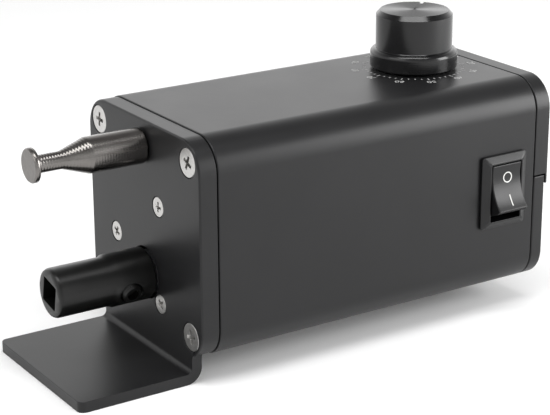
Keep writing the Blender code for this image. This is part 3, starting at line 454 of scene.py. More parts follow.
def turned_stainless():
    """Stainless bar, turned on a lathe and left bright: grey, with rings from the tool on the cone.

    The rings are drawn a few times coarser than a real feed, so that they show.
    """
    made, tree, shader, place = surface("turned_stainless_steel", 0.24, 1.0)
    stretched = node(tree, "ShaderNodeMapping", {"Vector": place, "Scale": (1.0, 0.15, 1.0)})
    cloud = node(tree, "ShaderNodeTexNoise", grain(stretched.outputs["Vector"], 1.5, 4.0)).outputs["Fac"]
    mottle(tree, shader, cloud, "#625f5d", "#85827f", 0.18, 0.32)
    along = node(tree, "ShaderNodeSeparateXYZ", {"Vector": place}).outputs["Y"]
    cone_end = at(0.0, -16.6, 0.0).y
    cone_start = at(0.0, -16.0, 0.0).y
    reach = {"Value": along, "From Min": cone_end, "From Max": cone_start, "To Min": 1.0, "To Max": 0.12}
    share = node(tree, "ShaderNodeMapRange", reach).outputs["Result"]
    grooves = node(tree, "ShaderNodeTexWave", ridges(place, 0.8, 0.6), bands_direction="Y").outputs["Fac"]
    height = node(tree, "ShaderNodeMath", {0: grooves, 1: share}, operation="MULTIPLY").outputs["Value"]
    relief(tree, shader, height, 0.045)
    return made


def nickel_plate():
    """Nickel-plated steel screw heads: cold-formed and barrel-plated, a soft bright silver."""
    made, tree, shader, place = surface("nickel_plated_steel", 0.3, 1.0)
    cloud = node(tree, "ShaderNodeTexNoise", grain(place, 0.9, 4.0)).outputs["Fac"]
    mottle(tree, shader, cloud, "#b3b1ae", "#d6d5d3", 0.24, 0.42)
    relief(tree, shader, cloud, 0.012)
    return made


def black_oxide():
    """Black oxide on machined steel: an oily black with faint lathe lines under it.

    The lines are drawn coarser than a real feed, so that they show.
    """
    made, tree, shader, place = surface("black_oxide_steel", 0.3, IOR=1.4)
    cloud = node(tree, "ShaderNodeTexNoise", grain(place, 2.5, 5.0)).outputs["Fac"]
    mottle(tree, shader, cloud, "#070707", "#0e0e0d", 0.24, 0.4)
    lines = node(tree, "ShaderNodeTexWave", ridges(place, 0.5, 1.0), bands_direction="Y").outputs["Fac"]
    relief(tree, shader, lines, 0.004)
    return made


def gloss_anodised():
    """Black anodised aluminium, turned smooth and dyed: a deep gloss with a trace of the lathe.

    The lines are drawn coarser than a real feed, so that they show.
    """
    made, tree, shader, place = surface("black_anodised_aluminium", 0.2, IOR=1.45)
    cloud = node(tree, "ShaderNodeTexNoise", grain(place, 3.0, 3.0)).outputs["Fac"]
    mottle(tree, shader, cloud, "#0b0b0c", "#111112", 0.16, 0.24)
    lines = node(tree, "ShaderNodeTexWave", ridges(place, 0.5), bands_direction="Z").outputs["Fac"]
    relief(tree, shader, lines, 0.002)
    return made


def spun_anodised():
    """The knob's end face, spun after turning: two bright fans that follow the round tool marks.

    The marks are drawn coarser than real ones, so that they show.
    """
    made, tree, shader, place = surface(
        "black_anodised_spun_face", 0.3, IOR=1.38, Anisotropic=0.92, Anisotropic_Rotation=0.25,
    )
    tangent = node(tree, "ShaderNodeTangent", direction_type="RADIAL", axis="Z")
    tree.links.new(tangent.outputs["Tangent"], shader.inputs["Tangent"])
    centred = node(tree, "ShaderNodeMapping", {"Vector": place, "Location": -at(*KNOB)})
    around = ridges(centred.outputs["Vector"], 0.3)
    marks = node(tree, "ShaderNodeTexWave", around, wave_type="RINGS", rings_direction="Z").outputs["Fac"]
    mottle(tree, shader, marks, "#080809", "#0d0d0e", 0.26, 0.36)
    relief(tree, shader, marks, 0.002)
    return made


def moulded(name, dark, light, roughness, grit=0.25, depth=0.004, ior=1.5):
    """Plastic, rubber, ink or ferrite out of a mould or a screen: even colour with a fine texture."""
    made, tree, shader, place = surface(name, roughness, IOR=ior)
    cloud = node(tree, "ShaderNodeTexNoise", grain(place, 5.0)).outputs["Fac"]
    mottle(tree, shader, cloud, dark, light, roughness - 0.05, roughness + 0.05)
    texture = node(tree, "ShaderNodeTexNoise", grain(place, grit, 3.0)).outputs["Fac"]
    relief(tree, shader, texture, depth)
    return made


def plain_metal(name, dark, light, roughness, grit=0.6, depth=0.006):
    """Cast, stamped or drawn metal: mottled colour and roughness at the size of its grain."""
    made, tree, shader, place = surface(name, roughness, 1.0)
    cloud = node(tree, "ShaderNodeTexNoise", grain(place, grit, 5.0)).outputs["Fac"]
    mottle(tree, shader, cloud, dark, light, roughness - 0.08, roughness + 0.08)
    relief(tree, shader, cloud, depth)
    return made


def circuit_green():
    """Glass-epoxy board under solder resist: green gloss with the weave of the glass just showing."""
    made, tree, shader, place = surface("circuit_board_resist", 0.35, IOR=1.55)
    warp = node(tree, "ShaderNodeTexWave", ridges(place, 0.6, 0.0), bands_direction="X").outputs["Fac"]
    weft = node(tree, "ShaderNodeTexWave", ridges(place, 0.6, 0.0), bands_direction="Y").outputs["Fac"]
    weave = node(tree, "ShaderNodeMath", {0: warp, 1: weft}, operation="MULTIPLY").outputs["Value"]
    mottle(tree, shader, weave, "#0c3a1d", "#14512a", 0.33, 0.37)
    relief(tree, shader, weave, 0.004)
    return made


COAT = black_powder_coat()
STAINLESS = turned_stainless()
NICKEL = nickel_plate()
OXIDE = black_oxide()
ANODISED = gloss_anodised()
SPUN_FACE = spun_anodised()
# Nylon from a spark-eroded mould: a soft black with no glare.
SWITCH_BLACK = moulded("black_nylon", "#0a0a0b", "#101011", 0.34, ior=1.4)
# Screen ink on the rocker: a flat white.
PRINT_WHITE = moulded("white_screen_ink", "#c6c6c3", "#d6d6d3", 0.55, 0.2, 0.002)
# Powder coat burnt away by a laser: a dry pale grey.
ETCHED_GREY = moulded("laser_etched_grey", "#a4a4a2", "#bababa", 0.7, 0.2, 0.004)
# Moulded nitrile rubber: a dull grey-black.
RUBBER = moulded("black_rubber", "#161616", "#1d1d1c", 0.8, 0.5, 0.02)
# Moulded nylon of the motor's end cap: an off-white.
CAP_WHITE = moulded("white_nylon", "#bdbcb3", "#c9c8c0", 0.5)
# Extruded PVC insulation: even colour with a slight shine.
WIRE_RED = moulded("red_pvc", "#a01414", "#b51c1c", 0.4)
WIRE_BLACK = moulded("black_pvc", "#151515", "#1c1c1c", 0.4)
# Moulded polyamide of the terminal block: a plain green.
TERMINAL_GREEN = moulded("green_polyamide", "#1c5a38", "#226742", 0.45)
# Steel stamped or turned and zinc-plated: a cool silver.
ZINC_PLATE = plain_metal("zinc_plated_steel", "#a7a9ab", "#c4c6c8", 0.32)
# Hobbed carbon steel under a film of grease: a darker grey.
GEAR_STEEL = plain_metal("gear_steel", "#77787a", "#929395", 0.38, 0.4)
# Zinc alloy as it leaves the die: a dull, slightly rough grey.
CAST_ZINC = plain_metal("die_cast_zinc", "#85868a", "#a1a2a5", 0.5, 1.2, 0.02)
# Sintered bronze: a warm brown with fine pores.
BRONZE = plain_metal("sintered_bronze", "#8a6438", "#a67c49", 0.5, 0.3, 0.01)
# Enamelled copper wire, wound: a warm orange-brown.
COPPER = plain_metal("copper_windings", "#a15a33", "#c27448", 0.4, 0.5, 0.02)
# Stamped brass with a thin coat of tin: a pale yellow.
BRASS = plain_metal("tinned_brass", "#b9a878", "#d2c294", 0.35)
# Sintered ferrite and carbon: a dull charcoal.
FERRITE = moulded("ferrite", "#2c2c2e", "#3a3a3d", 0.7, 0.4, 0.01, 1.9)
BOARD = circuit_green()

INNER_FINISHES = {
    "pin_washer": ZINC_PLATE, "pin_nut": ZINC_PLATE,
    "output_gear": GEAR_STEEL, "output_bush": BRONZE, "output_shaft": STAINLESS,
    "gearbox_flange": CAST_ZINC, "gearbox_case": CAST_ZINC,
    "second_gear": GEAR_STEEL, "second_gear_pin": GEAR_STEEL,
    "first_gear": GEAR_STEEL, "first_gear_pin": GEAR_STEEL,
    "motor_pinion": BRONZE, "motor_shaft": STAINLESS, "armature": COPPER, "commutator": COPPER,
    "motor_magnet_1": FERRITE, "motor_magnet_2": FERRITE,
    "motor_can": ZINC_PLATE, "motor_end_cap": CAP_WHITE,
    "motor_brush_1": FERRITE, "motor_brush_2": FERRITE,
    "motor_terminal_1": BRASS, "motor_terminal_2": BRASS,
    "speed_board": BOARD, "board_capacitor": WIRE_BLACK,
    "heat_sink": ANODISED, "terminal_block": TERMINAL_GREEN,
    "potentiometer": ZINC_PLATE, "potentiometer_shaft": BRASS, "potentiometer_nut": ZINC_PLATE,
    "switch_terminal_1": BRASS, "switch_terminal_2": BRASS,
    "motor_lead_red": WIRE_RED, "motor_lead_black": WIRE_BLACK, "supply_lead": WIRE_RED,
}


def dress_inner_parts():
    """The working parts keep their CAD shape and get their real finishes."""
    for name, finish in INNER_FINISHES.items():
        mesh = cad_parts[name].data
        mesh.materials.clear()
        mesh.materials.append(finish)


# ---------------------------------------------------------------- pieces


def corner_places():
    """The four corner screws' places on the plate and the covers."""
    s = SCREW_OFFSET
    return [(-s, s), (s, s), (s, -s), (-s, -s)]


def motor_screw_places():
    """The three motor screws' places on the plate."""
    middles = [middle(f"motor_screw_{number}") for number in (1, 2, 3)]
    return [(spot.x, spot.z) for spot in middles]


def build_housing():
    """The extruded tube: rounded square, hollow, with screw bosses, a switch window and two holes."""
    tube = block("housing_tube", (-HALF, HOUSING_FRONT, -HALF), (HALF, HOUSING_BACK, HALF))
    with editing(tube):
        pick(tube, "EDGE", lambda edge: abs((edge.verts[0].co - edge.verts[1].co).y) > MM)
        bpy.ops.mesh.bevel(offset=HOUSING_CORNER * MM, segments=20, affect="EDGES", clamp_overlap=False)
        pick(tube, "FACE", lambda face: abs(face.normal.y) > 0.9)
        bpy.ops.mesh.delete(type="ONLY_FACE")
    apply_modifier(tube, "SOLIDIFY", thickness=HOUSING_WALL * MM, offset=-1.0)
    length = HOUSING_BACK - HOUSING_FRONT
    for x, z in corner_places():
        boss = turned("boss", [(4.3, 0.3), (4.3, length - 0.3)], "Y", (x, HOUSING_FRONT, z), 32)
        combine(tube, boss, "UNION")
        drill(tube, 2.25, "Y", (x, HOUSING_FRONT, z), length + 1.0, 24)
    ease(tube, 0.3, 3, 50.0)
    corners = square_corners(6.65, 9.7, 0.6, SWITCH.y, SWITCH.z)
    combine(tube, slab("window", corners, "X", HALF - 4.0, HALF + 2.0, 4))
    drill(tube, 3.8, "Z", (KNOB.x, KNOB.y, HALF - 4.0), 6.0)
    drill(tube, 1.8, "Z", (REAR_FOOT.x, REAR_FOOT.y, -HALF - 1.0), 6.0)
    smooth(tube)
    present(tube, "case", COAT, "black_coat", "housing")


def build_leg():
    """The flat strip below the plate, with a fillet on each side where it leaves the plate."""
    corner = PLATE_HALF - PLATE_CORNER
    overlap = 0.15
    fillet_x = LEG_HALF + LEG_FILLET
    reach = PLATE_CORNER + LEG_FILLET - overlap
    fillet_z = -corner - math.sqrt(reach ** 2 - (fillet_x - corner) ** 2)
    lean = math.degrees(math.atan2(-corner - fillet_z, corner - fillet_x))
    outline = [(LEG_HALF, FLOOR + 6.0), *bend((fillet_x, fillet_z), LEG_FILLET, 180.0, lean, 6)]
    outline += [(LEG_HALF, -corner)]
    outline += [(-x, z) for x, z in reversed(outline)]
    return slab("leg", [(x, z, 0.0) for x, z in outline], "Y", 0.0, LEG_THICK)


def build_foot():
    """The foot, bent forward from the leg, with its two front corners rounded."""
    profile = [
        (0.0, FLOOR + 7.0, 0.0), (0.0, FLOOR + LEG_THICK, 1.5), (-FOOT_REACH, FLOOR + LEG_THICK, 0.0),
        (-FOOT_REACH, FLOOR, 0.0), (LEG_THICK, FLOOR, 4.5), (LEG_THICK, FLOOR + 7.0, 0.0),
    ]
    foot = slab("foot", profile, "X", -LEG_HALF, LEG_HALF, 12)
    front = at(0.0, -FOOT_REACH, 0.0).y
    with editing(foot):
        pick(foot, "EDGE", lambda edge: all(abs(vert.co.y - front) < 0.01 * MM for vert in edge.verts)
             and abs(edge.verts[0].co.z - edge.verts[1].co.z) > MM)
        bpy.ops.mesh.bevel(offset=2.0 * MM, segments=8, affect="EDGES", clamp_overlap=False)
    return foot


def build_front_plate():
    """The plate, the leg below it and the foot bent forward, one piece with countersunk holes."""
    outline = square_corners(PLATE_HALF, PLATE_HALF, PLATE_CORNER)
    plate = slab("front_plate_and_foot", outline, "Y", 0.0, PLATE_THICK, 20)
    combine(plate, build_leg(), "UNION")
    combine(plate, build_foot(), "UNION")
    drill(plate, 7.3, "Y", (0.0, 0.0, OUTPUT_Z), PLATE_THICK + 1.0, 96)
    drill(plate, 3.3, "Y", (0.0, 0.0, PIN_Z), PLATE_THICK + 1.0)
    rim = 0.45
    for places, head, shank in ((corner_places(), 4.0, 2.2), (motor_screw_places(), 2.9, 1.7)):
        for x, z in places:
            profile = [(head, -1.0), (head, rim), (shank, rim + head - shank), (shank, PLATE_THICK + 1.0)]
            combine(plate, turned("countersink", profile, "Y", (x, 0.0, z), 48))
    corner = PLATE_HALF - PLATE_CORNER

    def on_front_outline(edge):
        for vert in edge.verts:
            x, y, z = (vert.co - ORIGIN) / MM
            out = math.hypot(max(abs(x) - corner, 0.0), max(abs(z) - corner, 0.0))
            if y > 0.01 or abs(out - PLATE_CORNER) > 0.02:
                return False
        return True

    ease(plate, 0.55, 4, 35.0, on_front_outline, 0.2)
    refill_flats(plate, "Y", -1)
    refill_flats(plate, "Y", 1)
    smooth(plate)
    present(plate, "case", COAT, "black_coat", "front_plate")


def cross_recess(arm, width, depth):
    """The driver's cross, full size at zero and tapering along +Z: two bars and the cone between."""
    recess = None
    for name, half_x, half_y in (("bar_1", arm, width / 2), ("bar_2", width / 2, arm)):
        deselect()
        bpy.ops.mesh.primitive_cube_add(size=2.0)
        bar = name_it(bpy.context.object, name)
        bar.scale = (half_x * MM, half_y * MM, depth * MM)
        settle(bar)
        with editing(bar):
            pick(bar, "FACE", lambda face: face.normal.z > 0.9)
            bpy.ops.transform.resize(value=(0.7, 0.8, 1.0), center_override=(0.0, 0.0, 0.0))
            pick(bar, "FACE", lambda face: face.normal.z < -0.9)
            bpy.ops.transform.resize(value=(1.3, 1.2, 1.0), center_override=(0.0, 0.0, 0.0))
        recess = bar if recess is None else combine(recess, bar, "UNION")
    cone = [(width * 0.95, -depth), (width * 0.8, 0.3 * depth), (width * 0.2, 1.5 * depth)]
    core = turned("core", cone, "Z", (0.0, 0.0, 0.0), 12)
    core.location = -ORIGIN
    return combine(recess, settle(core), "UNION")


def countersunk_screw(head, shank, length, arm, width, depth):
    """A countersunk cross-head screw at zero, with its head flat there and its shank to +Y."""
    profile = [
        (head - 0.12, 0.0), (head, 0.14), (head, 0.3), (shank, 0.3 + head - shank),
        (shank, length - 0.5), (shank - 0.4, length),
    ]
    screw = turned("countersunk_screw", profile, "Z", (0.0, 0.0, 0.0), 64)
    screw.location = -ORIGIN
    settle(screw)
    combine(screw, cross_recess(arm, width, depth))
    ease(screw, 0.05, 2, 40.0)
    screw.rotation_euler = TURNS["Y"]
    settle(screw)
    return smooth(screw)


def build_screws():
    """Four corner screws and three motor screws in front, and four screws in the rear covers."""
    for kind, (head, shank, arm, width, depth, turns) in SCREW_KINDS.items():
        low, high = span(f"{kind}_screw_1")
        pattern = countersunk_screw(head, shank, high.y - low.y, arm, width, depth)
        for number, turn in enumerate(turns, 1):
            low, high = span(f"{kind}_screw_{number}")
            screw = copy_of(pattern, f"{kind}_screw_head_{number}")
            screw.rotation_euler = (0.0, turn, math.pi if kind == "rear" else 0.0)
            face = high.y if kind == "rear" else low.y
            screw.location = at((low.x + high.x) / 2, face, (low.z + high.z) / 2)
            settle(screw)
            present(screw, "case", NICKEL, "zinc_steel", f"{kind}_screw_{number}")
        bpy.data.objects.remove(pattern)


def build_locating_pin():
    """The turned pin: cylinder, cone, neck and head in front of the plate, and its stud behind."""
    low, high = span("locating_pin")
    radius, neck, head, stud = 4.85, 2.35, 4.6, 3.0
    front, back = low.y, high.y
    profile = [
        (head - 0.35, front), (head, front + 0.35), (head, front + 1.35), (head - 0.15, front + 1.5),
        (neck, front + 1.5), (neck, -23.6), (radius - 0.06, -16.25), (radius, -16.1), (radius, -0.75),
        (radius - 0.35, -0.3), (stud, -0.3), (stud, back - 0.5), (stud - 0.5, back),
    ]
    pin = turned("turned_locating_pin", profile, "Y", (0.0, 0.0, PIN_Z), 96)
    ease(pin, 0.06, 2, 30.0)
    smooth(pin, 30.0)
    present(pin, "case", STAINLESS, "turned_steel", "locating_pin")


def build_drive_socket():
    """The socket: a turned barrel with a collar, a square hole in front and a tapped hole in its side."""
    low, high = span("drive_socket")
    front, radius, collar, bore = low.y, 6.7, 7.15, 3.15
    hole_end = front + 12.0
    profile = [
        (bore, hole_end + 2.5), (bore, high.y), (collar - 0.4, high.y), (collar, high.y - 0.4),
        (collar, -11.8), (radius, -12.7), (radius, front + 1.1), (radius - 0.35, front + 0.3),
        (radius - 1.0, front), (2.0, front), (2.0, hole_end + 2.5),
    ]
    socket = turned("black_drive_socket", profile, "Y", (0.0, 0.0, OUTPUT_Z), 96, hollow=True)
    square = slab("square", square_corners(3.45, 3.45, 0.35), "Y", front - 1.0, hole_end, 3)
    square.location = -ORIGIN
    settle(square)
    square.rotation_euler = (0.0, -SOCKET_TURN, 0.0)
    square.location = at(0.0, 0.0, OUTPUT_Z)
    settle(square)
    combine(socket, square)
    tapped = turned("tapped", [(2.95, 1.0), (2.95, 6.6), (3.5, 7.2), (3.5, 9.0)], "X", (0.0, 0.0, 0.0), 48)
    aim_radially(tapped)
    combine(socket, tapped)
    ease(socket, 0.12, 2, 30.0)
    refill_flats(socket, "Y", -1)
    smooth(socket, 30.0)
    present(socket, "drive", OXIDE, "black_steel", "drive_socket")


def aim_radially(piece):
    """Turns a piece made along +X from the origin to the set screw's direction, on the drive axis."""
    piece.location = -ORIGIN
    settle(piece)
    piece.rotation_euler = (0.0, -SET_SCREW_TURN, 0.0)
    piece.location = at(0.0, SET_SCREW_Y, OUTPUT_Z)
    return settle(piece)


def build_set_screw():
    """The set screw: threaded, chamfered, with a hexagon recess."""
    profile = [(1.4, 3.2), (2.4, 3.7)]
    height, pitch = 4.0, 0.5
    while height < 7.2:
        profile += [(2.8, height), (2.55, height + pitch / 2)]
        height += pitch
    profile += [(2.8, 7.3), (2.35, 7.8)]
    screw = turned("hexagon_set_screw", profile, "X", (0.0, 0.0, 0.0), 48)
    deselect()
    bpy.ops.mesh.primitive_cylinder_add(
        vertices=6, radius=1.73 * MM, depth=4.0 * MM, location=(7.8 * MM, 0.0, 0.0),
        rotation=(0.0, math.pi / 2, 0.0),
    )
    recess = settle(name_it(bpy.context.object, "hexagon"))
    recess.location = ORIGIN
    settle(recess)
    combine(screw, recess)
    aim_radially(screw)
    smooth(screw, 30.0)
    present(screw, "drive", OXIDE, "black_steel", "set_screw")


def build_knob():
    """The knob: a skirt, a round shoulder and a straight grip with a pointer notch in its rim."""
    low, high = span("speed_knob")
    base, top = low.z, high.z
    profile = [(2.95, base + 4.5), (7.2, base + 4.5), (7.2, base), (12.1, base), (12.5, base + 0.4)]
    profile += bend((10.95, base + 3.9), 1.55, 0.0, 85.0, 8)
    profile += [(10.95, base + 5.6), (10.95, top - 1.25), (9.8, top), (0.3, top)]
    profile += [(0.3, base + 13.0), (2.95, base + 13.0)]
    knob = turned("anodised_speed_knob", profile, "Z", (KNOB.x, KNOB.y, 0.0), 128, hollow=True)
    notch = block("notch", (7.9, -0.55, top - 1.5), (13.0, 0.55, top + 1.0))
    notch.location = -ORIGIN
    settle(notch)
    notch.rotation_euler = (0.0, 0.0, math.radians(NOTCH_TURN))
    notch.location = at(KNOB.x, KNOB.y, 0.0)
    settle(notch)
    combine(knob, notch)
    ease(knob, 0.08, 2, 50.0)
    refill_flats(knob, "Z", 1)
    smooth(knob, 35.0)
    present(knob, "knob", ANODISED, "black_anodised", "speed_knob")
    knob.data.materials.append(SPUN_FACE)
    with editing(knob):
        level = at(0.0, 0.0, top - 0.01).z
        pick(knob, "FACE", lambda face: face.normal.z > 0.99 and face.calc_center_median().z > level)
        knob.active_material_index = 1
        bpy.ops.object.material_slot_assign()


def printed(name, parts, height):
    """Joins flat text and bars into one thin print on the surface."""
    only(parts[0])
    for part in parts:
        part.select_set(True)
    bpy.ops.object.join()
    piece = name_it(bpy.context.object, name)
    return apply_modifier(settle(piece), "SOLIDIFY", thickness=height * MM, offset=1.0)


def flat_bar(length, width):
    """A flat strip along X, centred on the origin."""
    deselect()
    bpy.ops.mesh.primitive_plane_add(size=1.0)
    bar = bpy.context.object
    bar.scale = (length * MM, width * MM, 1.0)
    return settle(bar)


def flat_text(words, size):
    """A flat word made a mesh, centred on the origin."""
    deselect()
    bpy.ops.object.text_add()
    text = bpy.context.object
    text.data.body = words
    text.data.size = size * MM
    text.data.offset = 0.03 * MM
    text.data.align_x = "CENTER"
    text.data.align_y = "CENTER"
    bpy.ops.object.convert(target="MESH")
    return bpy.context.object


def build_dial():
    """The speed dial printed on the housing: ticks and the numbers 0 to 100, clockwise round the knob."""
    centre = at(KNOB.x, KNOB.y, HALF + 0.01)
    long_tick = flat_bar(1.5, 0.28)
    long_tick.location.x = (DIAL_RADIUS + 0.75) * MM
    settle(long_tick)
    short_tick = flat_bar(0.8, 0.28)
    short_tick.location.x = (DIAL_RADIUS + 0.4) * MM
    settle(short_tick)
    parts = []
    for step in range(10 * DIAL_TICKS_PER_STEP + 1):
        pattern = short_tick if step % DIAL_TICKS_PER_STEP else long_tick
        tick = copy_of(pattern, "tick")
        tick.rotation_euler = (0.0, 0.0, math.radians(DIAL_START + DIAL_STEP * step / DIAL_TICKS_PER_STEP))
        tick.location = centre
        parts.append(settle(tick))
    for number in range(11):
        angle = math.radians(DIAL_START + DIAL_STEP * number)
        text = flat_text(str(10 * number), 2.7)
        text.rotation_euler = (0.0, 0.0, angle - math.pi / 2)
        out = Vector((math.cos(angle), math.sin(angle), 0.0))
        text.location = centre + out * DIAL_NUMBER_RADIUS * MM
        parts.append(settle(text))
    bpy.data.objects.remove(long_tick)
    bpy.data.objects.remove(short_tick)
    dial = printed("printed_dial", parts, 0.02)
    present(dial, "case", ETCHED_GREY, "black_coat")


def build_rear_covers():
    """The upper cover, with its lip over the seam, and the lower cover with the inlet hole."""
    for name, bottom, top, low_round, high_round, edge in (
        ("upper", -0.8, HALF, 0.0, 9.0, 0.25),
        ("lower", -HALF, 1.8, 9.0, 0.0, 0.45),
    ):
        front, back = (corner.y for corner in span(f"rear_cover_{name}"))
        corners = [(-HALF, bottom, low_round), (HALF, bottom, low_round)]
        corners += [(HALF, top, high_round), (-HALF, top, high_round)]
        cover = slab(f"{name}_rear_cover", corners, "Y", front, back, 20)
        if name == "upper":
            combine(cover, block("under_lip", (-HALF - 1, front - 1, -2.0), (HALF + 1, back - 0.7, 2.1)))
        ease(cover, edge, 3, 35.0)
        low, high = (4.1, HALF - 2.0) if name == "upper" else (2.0 - HALF, 0.1)
        combine(cover, block("pocket", (-17.0, front - 1.0, low), (17.0, back - 2.0, high)))
        for x, z in corner_places():
            if (z > 0) == (name == "upper"):
                profile = [(4.0, -1.0), (4.0, 0.5), (2.2, 2.3), (2.2, 8.0)]
                combine(cover, turned("countersink", profile, "-Y", (x, back, z), 48))
        if name == "lower":
            drill(cover, 5.6, "Y", (INLET.x, front - 1.0, INLET.z), 8.0)
        smooth(cover)
        present(cover, "case", COAT, "black_coat", f"rear_cover_{name}")


def build_switch():
    """The rocker switch's body, with a bezel that slopes out to its opening."""
    low, high = span("switch_body")
    proud, depth = high.x, low.x
    outline = square_corners(6.45, 9.5, 0.5, SWITCH.y, SWITCH.z)
    body = slab("body", outline, "X", depth, HALF + 0.4, 4)
    bezel_y, bezel_z = 7.85, 10.6
    outline = square_corners(bezel_y, bezel_z, 0.9, SWITCH.y, SWITCH.z)
    bezel = slab("bezel", outline, "X", HALF + 0.3, proud, 6)
    centre = at(proud, SWITCH.y, SWITCH.z)
    with editing(bezel):
        pick(bezel, "FACE", lambda face: face.normal.x > 0.9)
        bpy.ops.mesh.inset(thickness=0.02 * MM)
        ratio = (1.0, 5.75 / bezel_y, 8.8 / bezel_z)
        bpy.ops.transform.resize(value=ratio, center_override=centre)
        pick(bezel, "VERT", lambda vert: vert.co.x > centre.x - 0.01 * MM
             and max(abs(vert.co.y - centre.y) / 7.0, abs(vert.co.z - centre.z) / 9.8) > MM)
        bpy.ops.transform.translate(value=(-1.2 * MM, 0.0, 0.0))
    combine(body, bezel, "UNION")
    outline = square_corners(5.3, 8.35, 0.3, SWITCH.y, SWITCH.z)
    combine(body, slab("opening", outline, "X", depth + 2.0, proud + 1.0, 3))
    drill(body, 1.05, "Y", (ROCKER_PIVOT_X, SWITCH.y - 6.1, SWITCH.z), 12.2, 24)
    ease(body, 0.12, 2, 30.0)
    smooth(body, 30.0)
    name_it(body, "switch_bezel_and_body")
    present(body, "case", SWITCH_BLACK, "switch_plastic", "switch_body")


def rocker_point(u, v):
    """A point of the rocker's profile, square to its middle, turned to its place at rest."""
    cos, sin = math.cos(ROCKER_REST), math.sin(ROCKER_REST)
    return ROCKER_PIVOT_X + u * cos - v * sin, SWITCH.z + u * sin + v * cos


def build_rocker():
    """The rocker: two dished faces between its tips, on a pin, with I and O printed on them."""
    tip_u, tip_v = ROCKER_TIP * math.cos(ROCKER_TIP_TURN), ROCKER_TIP * math.sin(ROCKER_TIP_TURN)
    face = [(5.0 + (tip_u - 5.0) * (step / 8) ** 2, tip_v * step / 8) for step in range(9)]
    half = face + [(tip_u - 1.3, tip_v + 0.55), (1.5, 7.55), (-1.6, 7.2)]
    profile = half + [(u, -v) for u, v in reversed(half[1:])]
    corners = [(*rocker_point(u, v), 0.0) for u, v in profile]
    rocker = slab("black_rocker", corners, "Y", SWITCH.y - 5.05, SWITCH.y + 5.05)
    ease(rocker, 0.35, 4, 40.0)
    pin = turned("pin", [(0.9, -6.0), (0.9, 6.0)], "Y", (ROCKER_PIVOT_X, SWITCH.y, SWITCH.z), 24)
    combine(rocker, pin, "UNION")
    smooth(rocker, 30.0)
    present(rocker, "rocker", SWITCH_BLACK, "switch_plastic", "switch_rocker")
    build_rocker_marks(rocker)


def build_rocker_marks(rocker):
    """The O and the I, laid on the dished face."""
    place = (HALF + 8.0, SWITCH.y + 0.3, SWITCH.z + 4.2)
    ring = turned("ring", [(1.24, 0.0), (1.56, 0.0)], "X", place, 64, hollow=True)
    stroke = flat_bar(2.8, 0.34)
    stroke.rotation_euler = (0.0, math.pi / 2, 0.0)
    stroke.location = at(HALF + 8.0, SWITCH.y + 0.3, SWITCH.z - 2.0)
    settle(stroke)
    only(ring)
    stroke.select_set(True)
    bpy.ops.object.join()
    marks = name_it(bpy.context.object, "printed_switch_marks")
    with editing(marks):
        pick(marks, "EDGE", lambda edge: True)
        bpy.ops.mesh.subdivide(number_cuts=4)
    apply_modifier(
        marks, "SHRINKWRAP", target=rocker, wrap_method="PROJECT", use_project_x=True,
        use_negative_direction=True, use_positive_direction=False, offset=0.02 * MM,
    )
    apply_modifier(marks, "SOLIDIFY", thickness=0.03 * MM, offset=1.0)
    present(marks, "rocker", PRINT_WHITE, "switch_plastic")


def build_rear_foot():
    """The rubber foot, with its screw sunk in the middle."""
    low, high = span("rear_foot")
    profile = [
        (2.0, low.z + 3.0), (4.2, low.z + 3.0), (4.2, low.z), (9.3, low.z), (9.75, low.z + 0.15),
        (10.0, low.z + 0.6), (10.0, high.z), (2.0, high.z),
    ]
    foot = turned("rubber_rear_foot", profile, "Z", (REAR_FOOT.x, REAR_FOOT.y, 0.0), 96, hollow=True)
    ease(foot, 0.15, 2, 40.0)
    smooth(foot, 30.0)
    present(foot, "case", RUBBER, "rubber", "rear_foot")
    low, high = span("rear_foot_screw")
    profile = [
        (2.7, low.z), (3.1, low.z + 0.15), (3.4, low.z + 0.6), (3.4, low.z + 2.2), (1.5, low.z + 2.2),
        (1.5, high.z),
    ]
    screw = turned("foot_screw", profile, "Z", (REAR_FOOT.x, REAR_FOOT.y, 0.0), 64)
    recess = cross_recess(1.9, 0.75, 1.4)
    recess.location = at(REAR_FOOT.x, REAR_FOOT.y, low.z)
    settle(recess)
    combine(screw, recess)
    ease(screw, 0.07, 2, 40.0)
    refill_flats(screw, "Z", -1)
    smooth(screw, 30.0)
    present(screw, "case", NICKEL, "zinc_steel", "rear_foot_screw")


def build_inlet():
    """The round power inlet with its centre pin and threaded collar, and its hexagon nut."""
    low, high = span("power_inlet")
    mouth, shoulder = high.y, span("rear_cover_lower")[0].y - 1.6
    profile = [(6.4, low.y), (6.4, shoulder), (5.1, shoulder)]
    height, pitch = shoulder + 0.4, 0.75
    while height < mouth - 1.0:
        profile += [(5.3, height), (5.05, height + pitch / 2)]
        height += pitch
    profile += [(5.2, mouth - 0.4), (4.9, mouth), (3.2, mouth), (3.2, mouth - 9.5), (1.0, mouth - 9.5)]
    profile += [(1.0, mouth - 1.2), (0.7, mouth - 0.9)]
    inlet = turned("threaded_power_inlet", profile, "Y", (INLET.x, 0.0, INLET.z), 72)
    smooth(inlet, 30.0)
    present(inlet, "case", SWITCH_BLACK, "switch_plastic", "power_inlet")
    low, high = span("power_inlet_nut")
    deselect()
    bpy.ops.mesh.primitive_cylinder_add(
        vertices=6, radius=7.4 * MM, depth=(high.y - low.y) * MM,
        location=at(INLET.x, (low.y + high.y) / 2, INLET.z), rotation=(math.pi / 2, math.pi / 6, 0.0),
    )
    nut = settle(name_it(bpy.context.object, "hexagon_inlet_nut"))
    drill(nut, 5.45, "Y", (INLET.x, low.y - 1.0, INLET.z), 6.0, 64)
    ease(nut, 0.3, 3, 35.0)
    smooth(nut)
    present(nut, "case", ZINC_PLATE, "zinc_steel", "power_inlet_nut")


# ---------------------------------------------------------------- studio


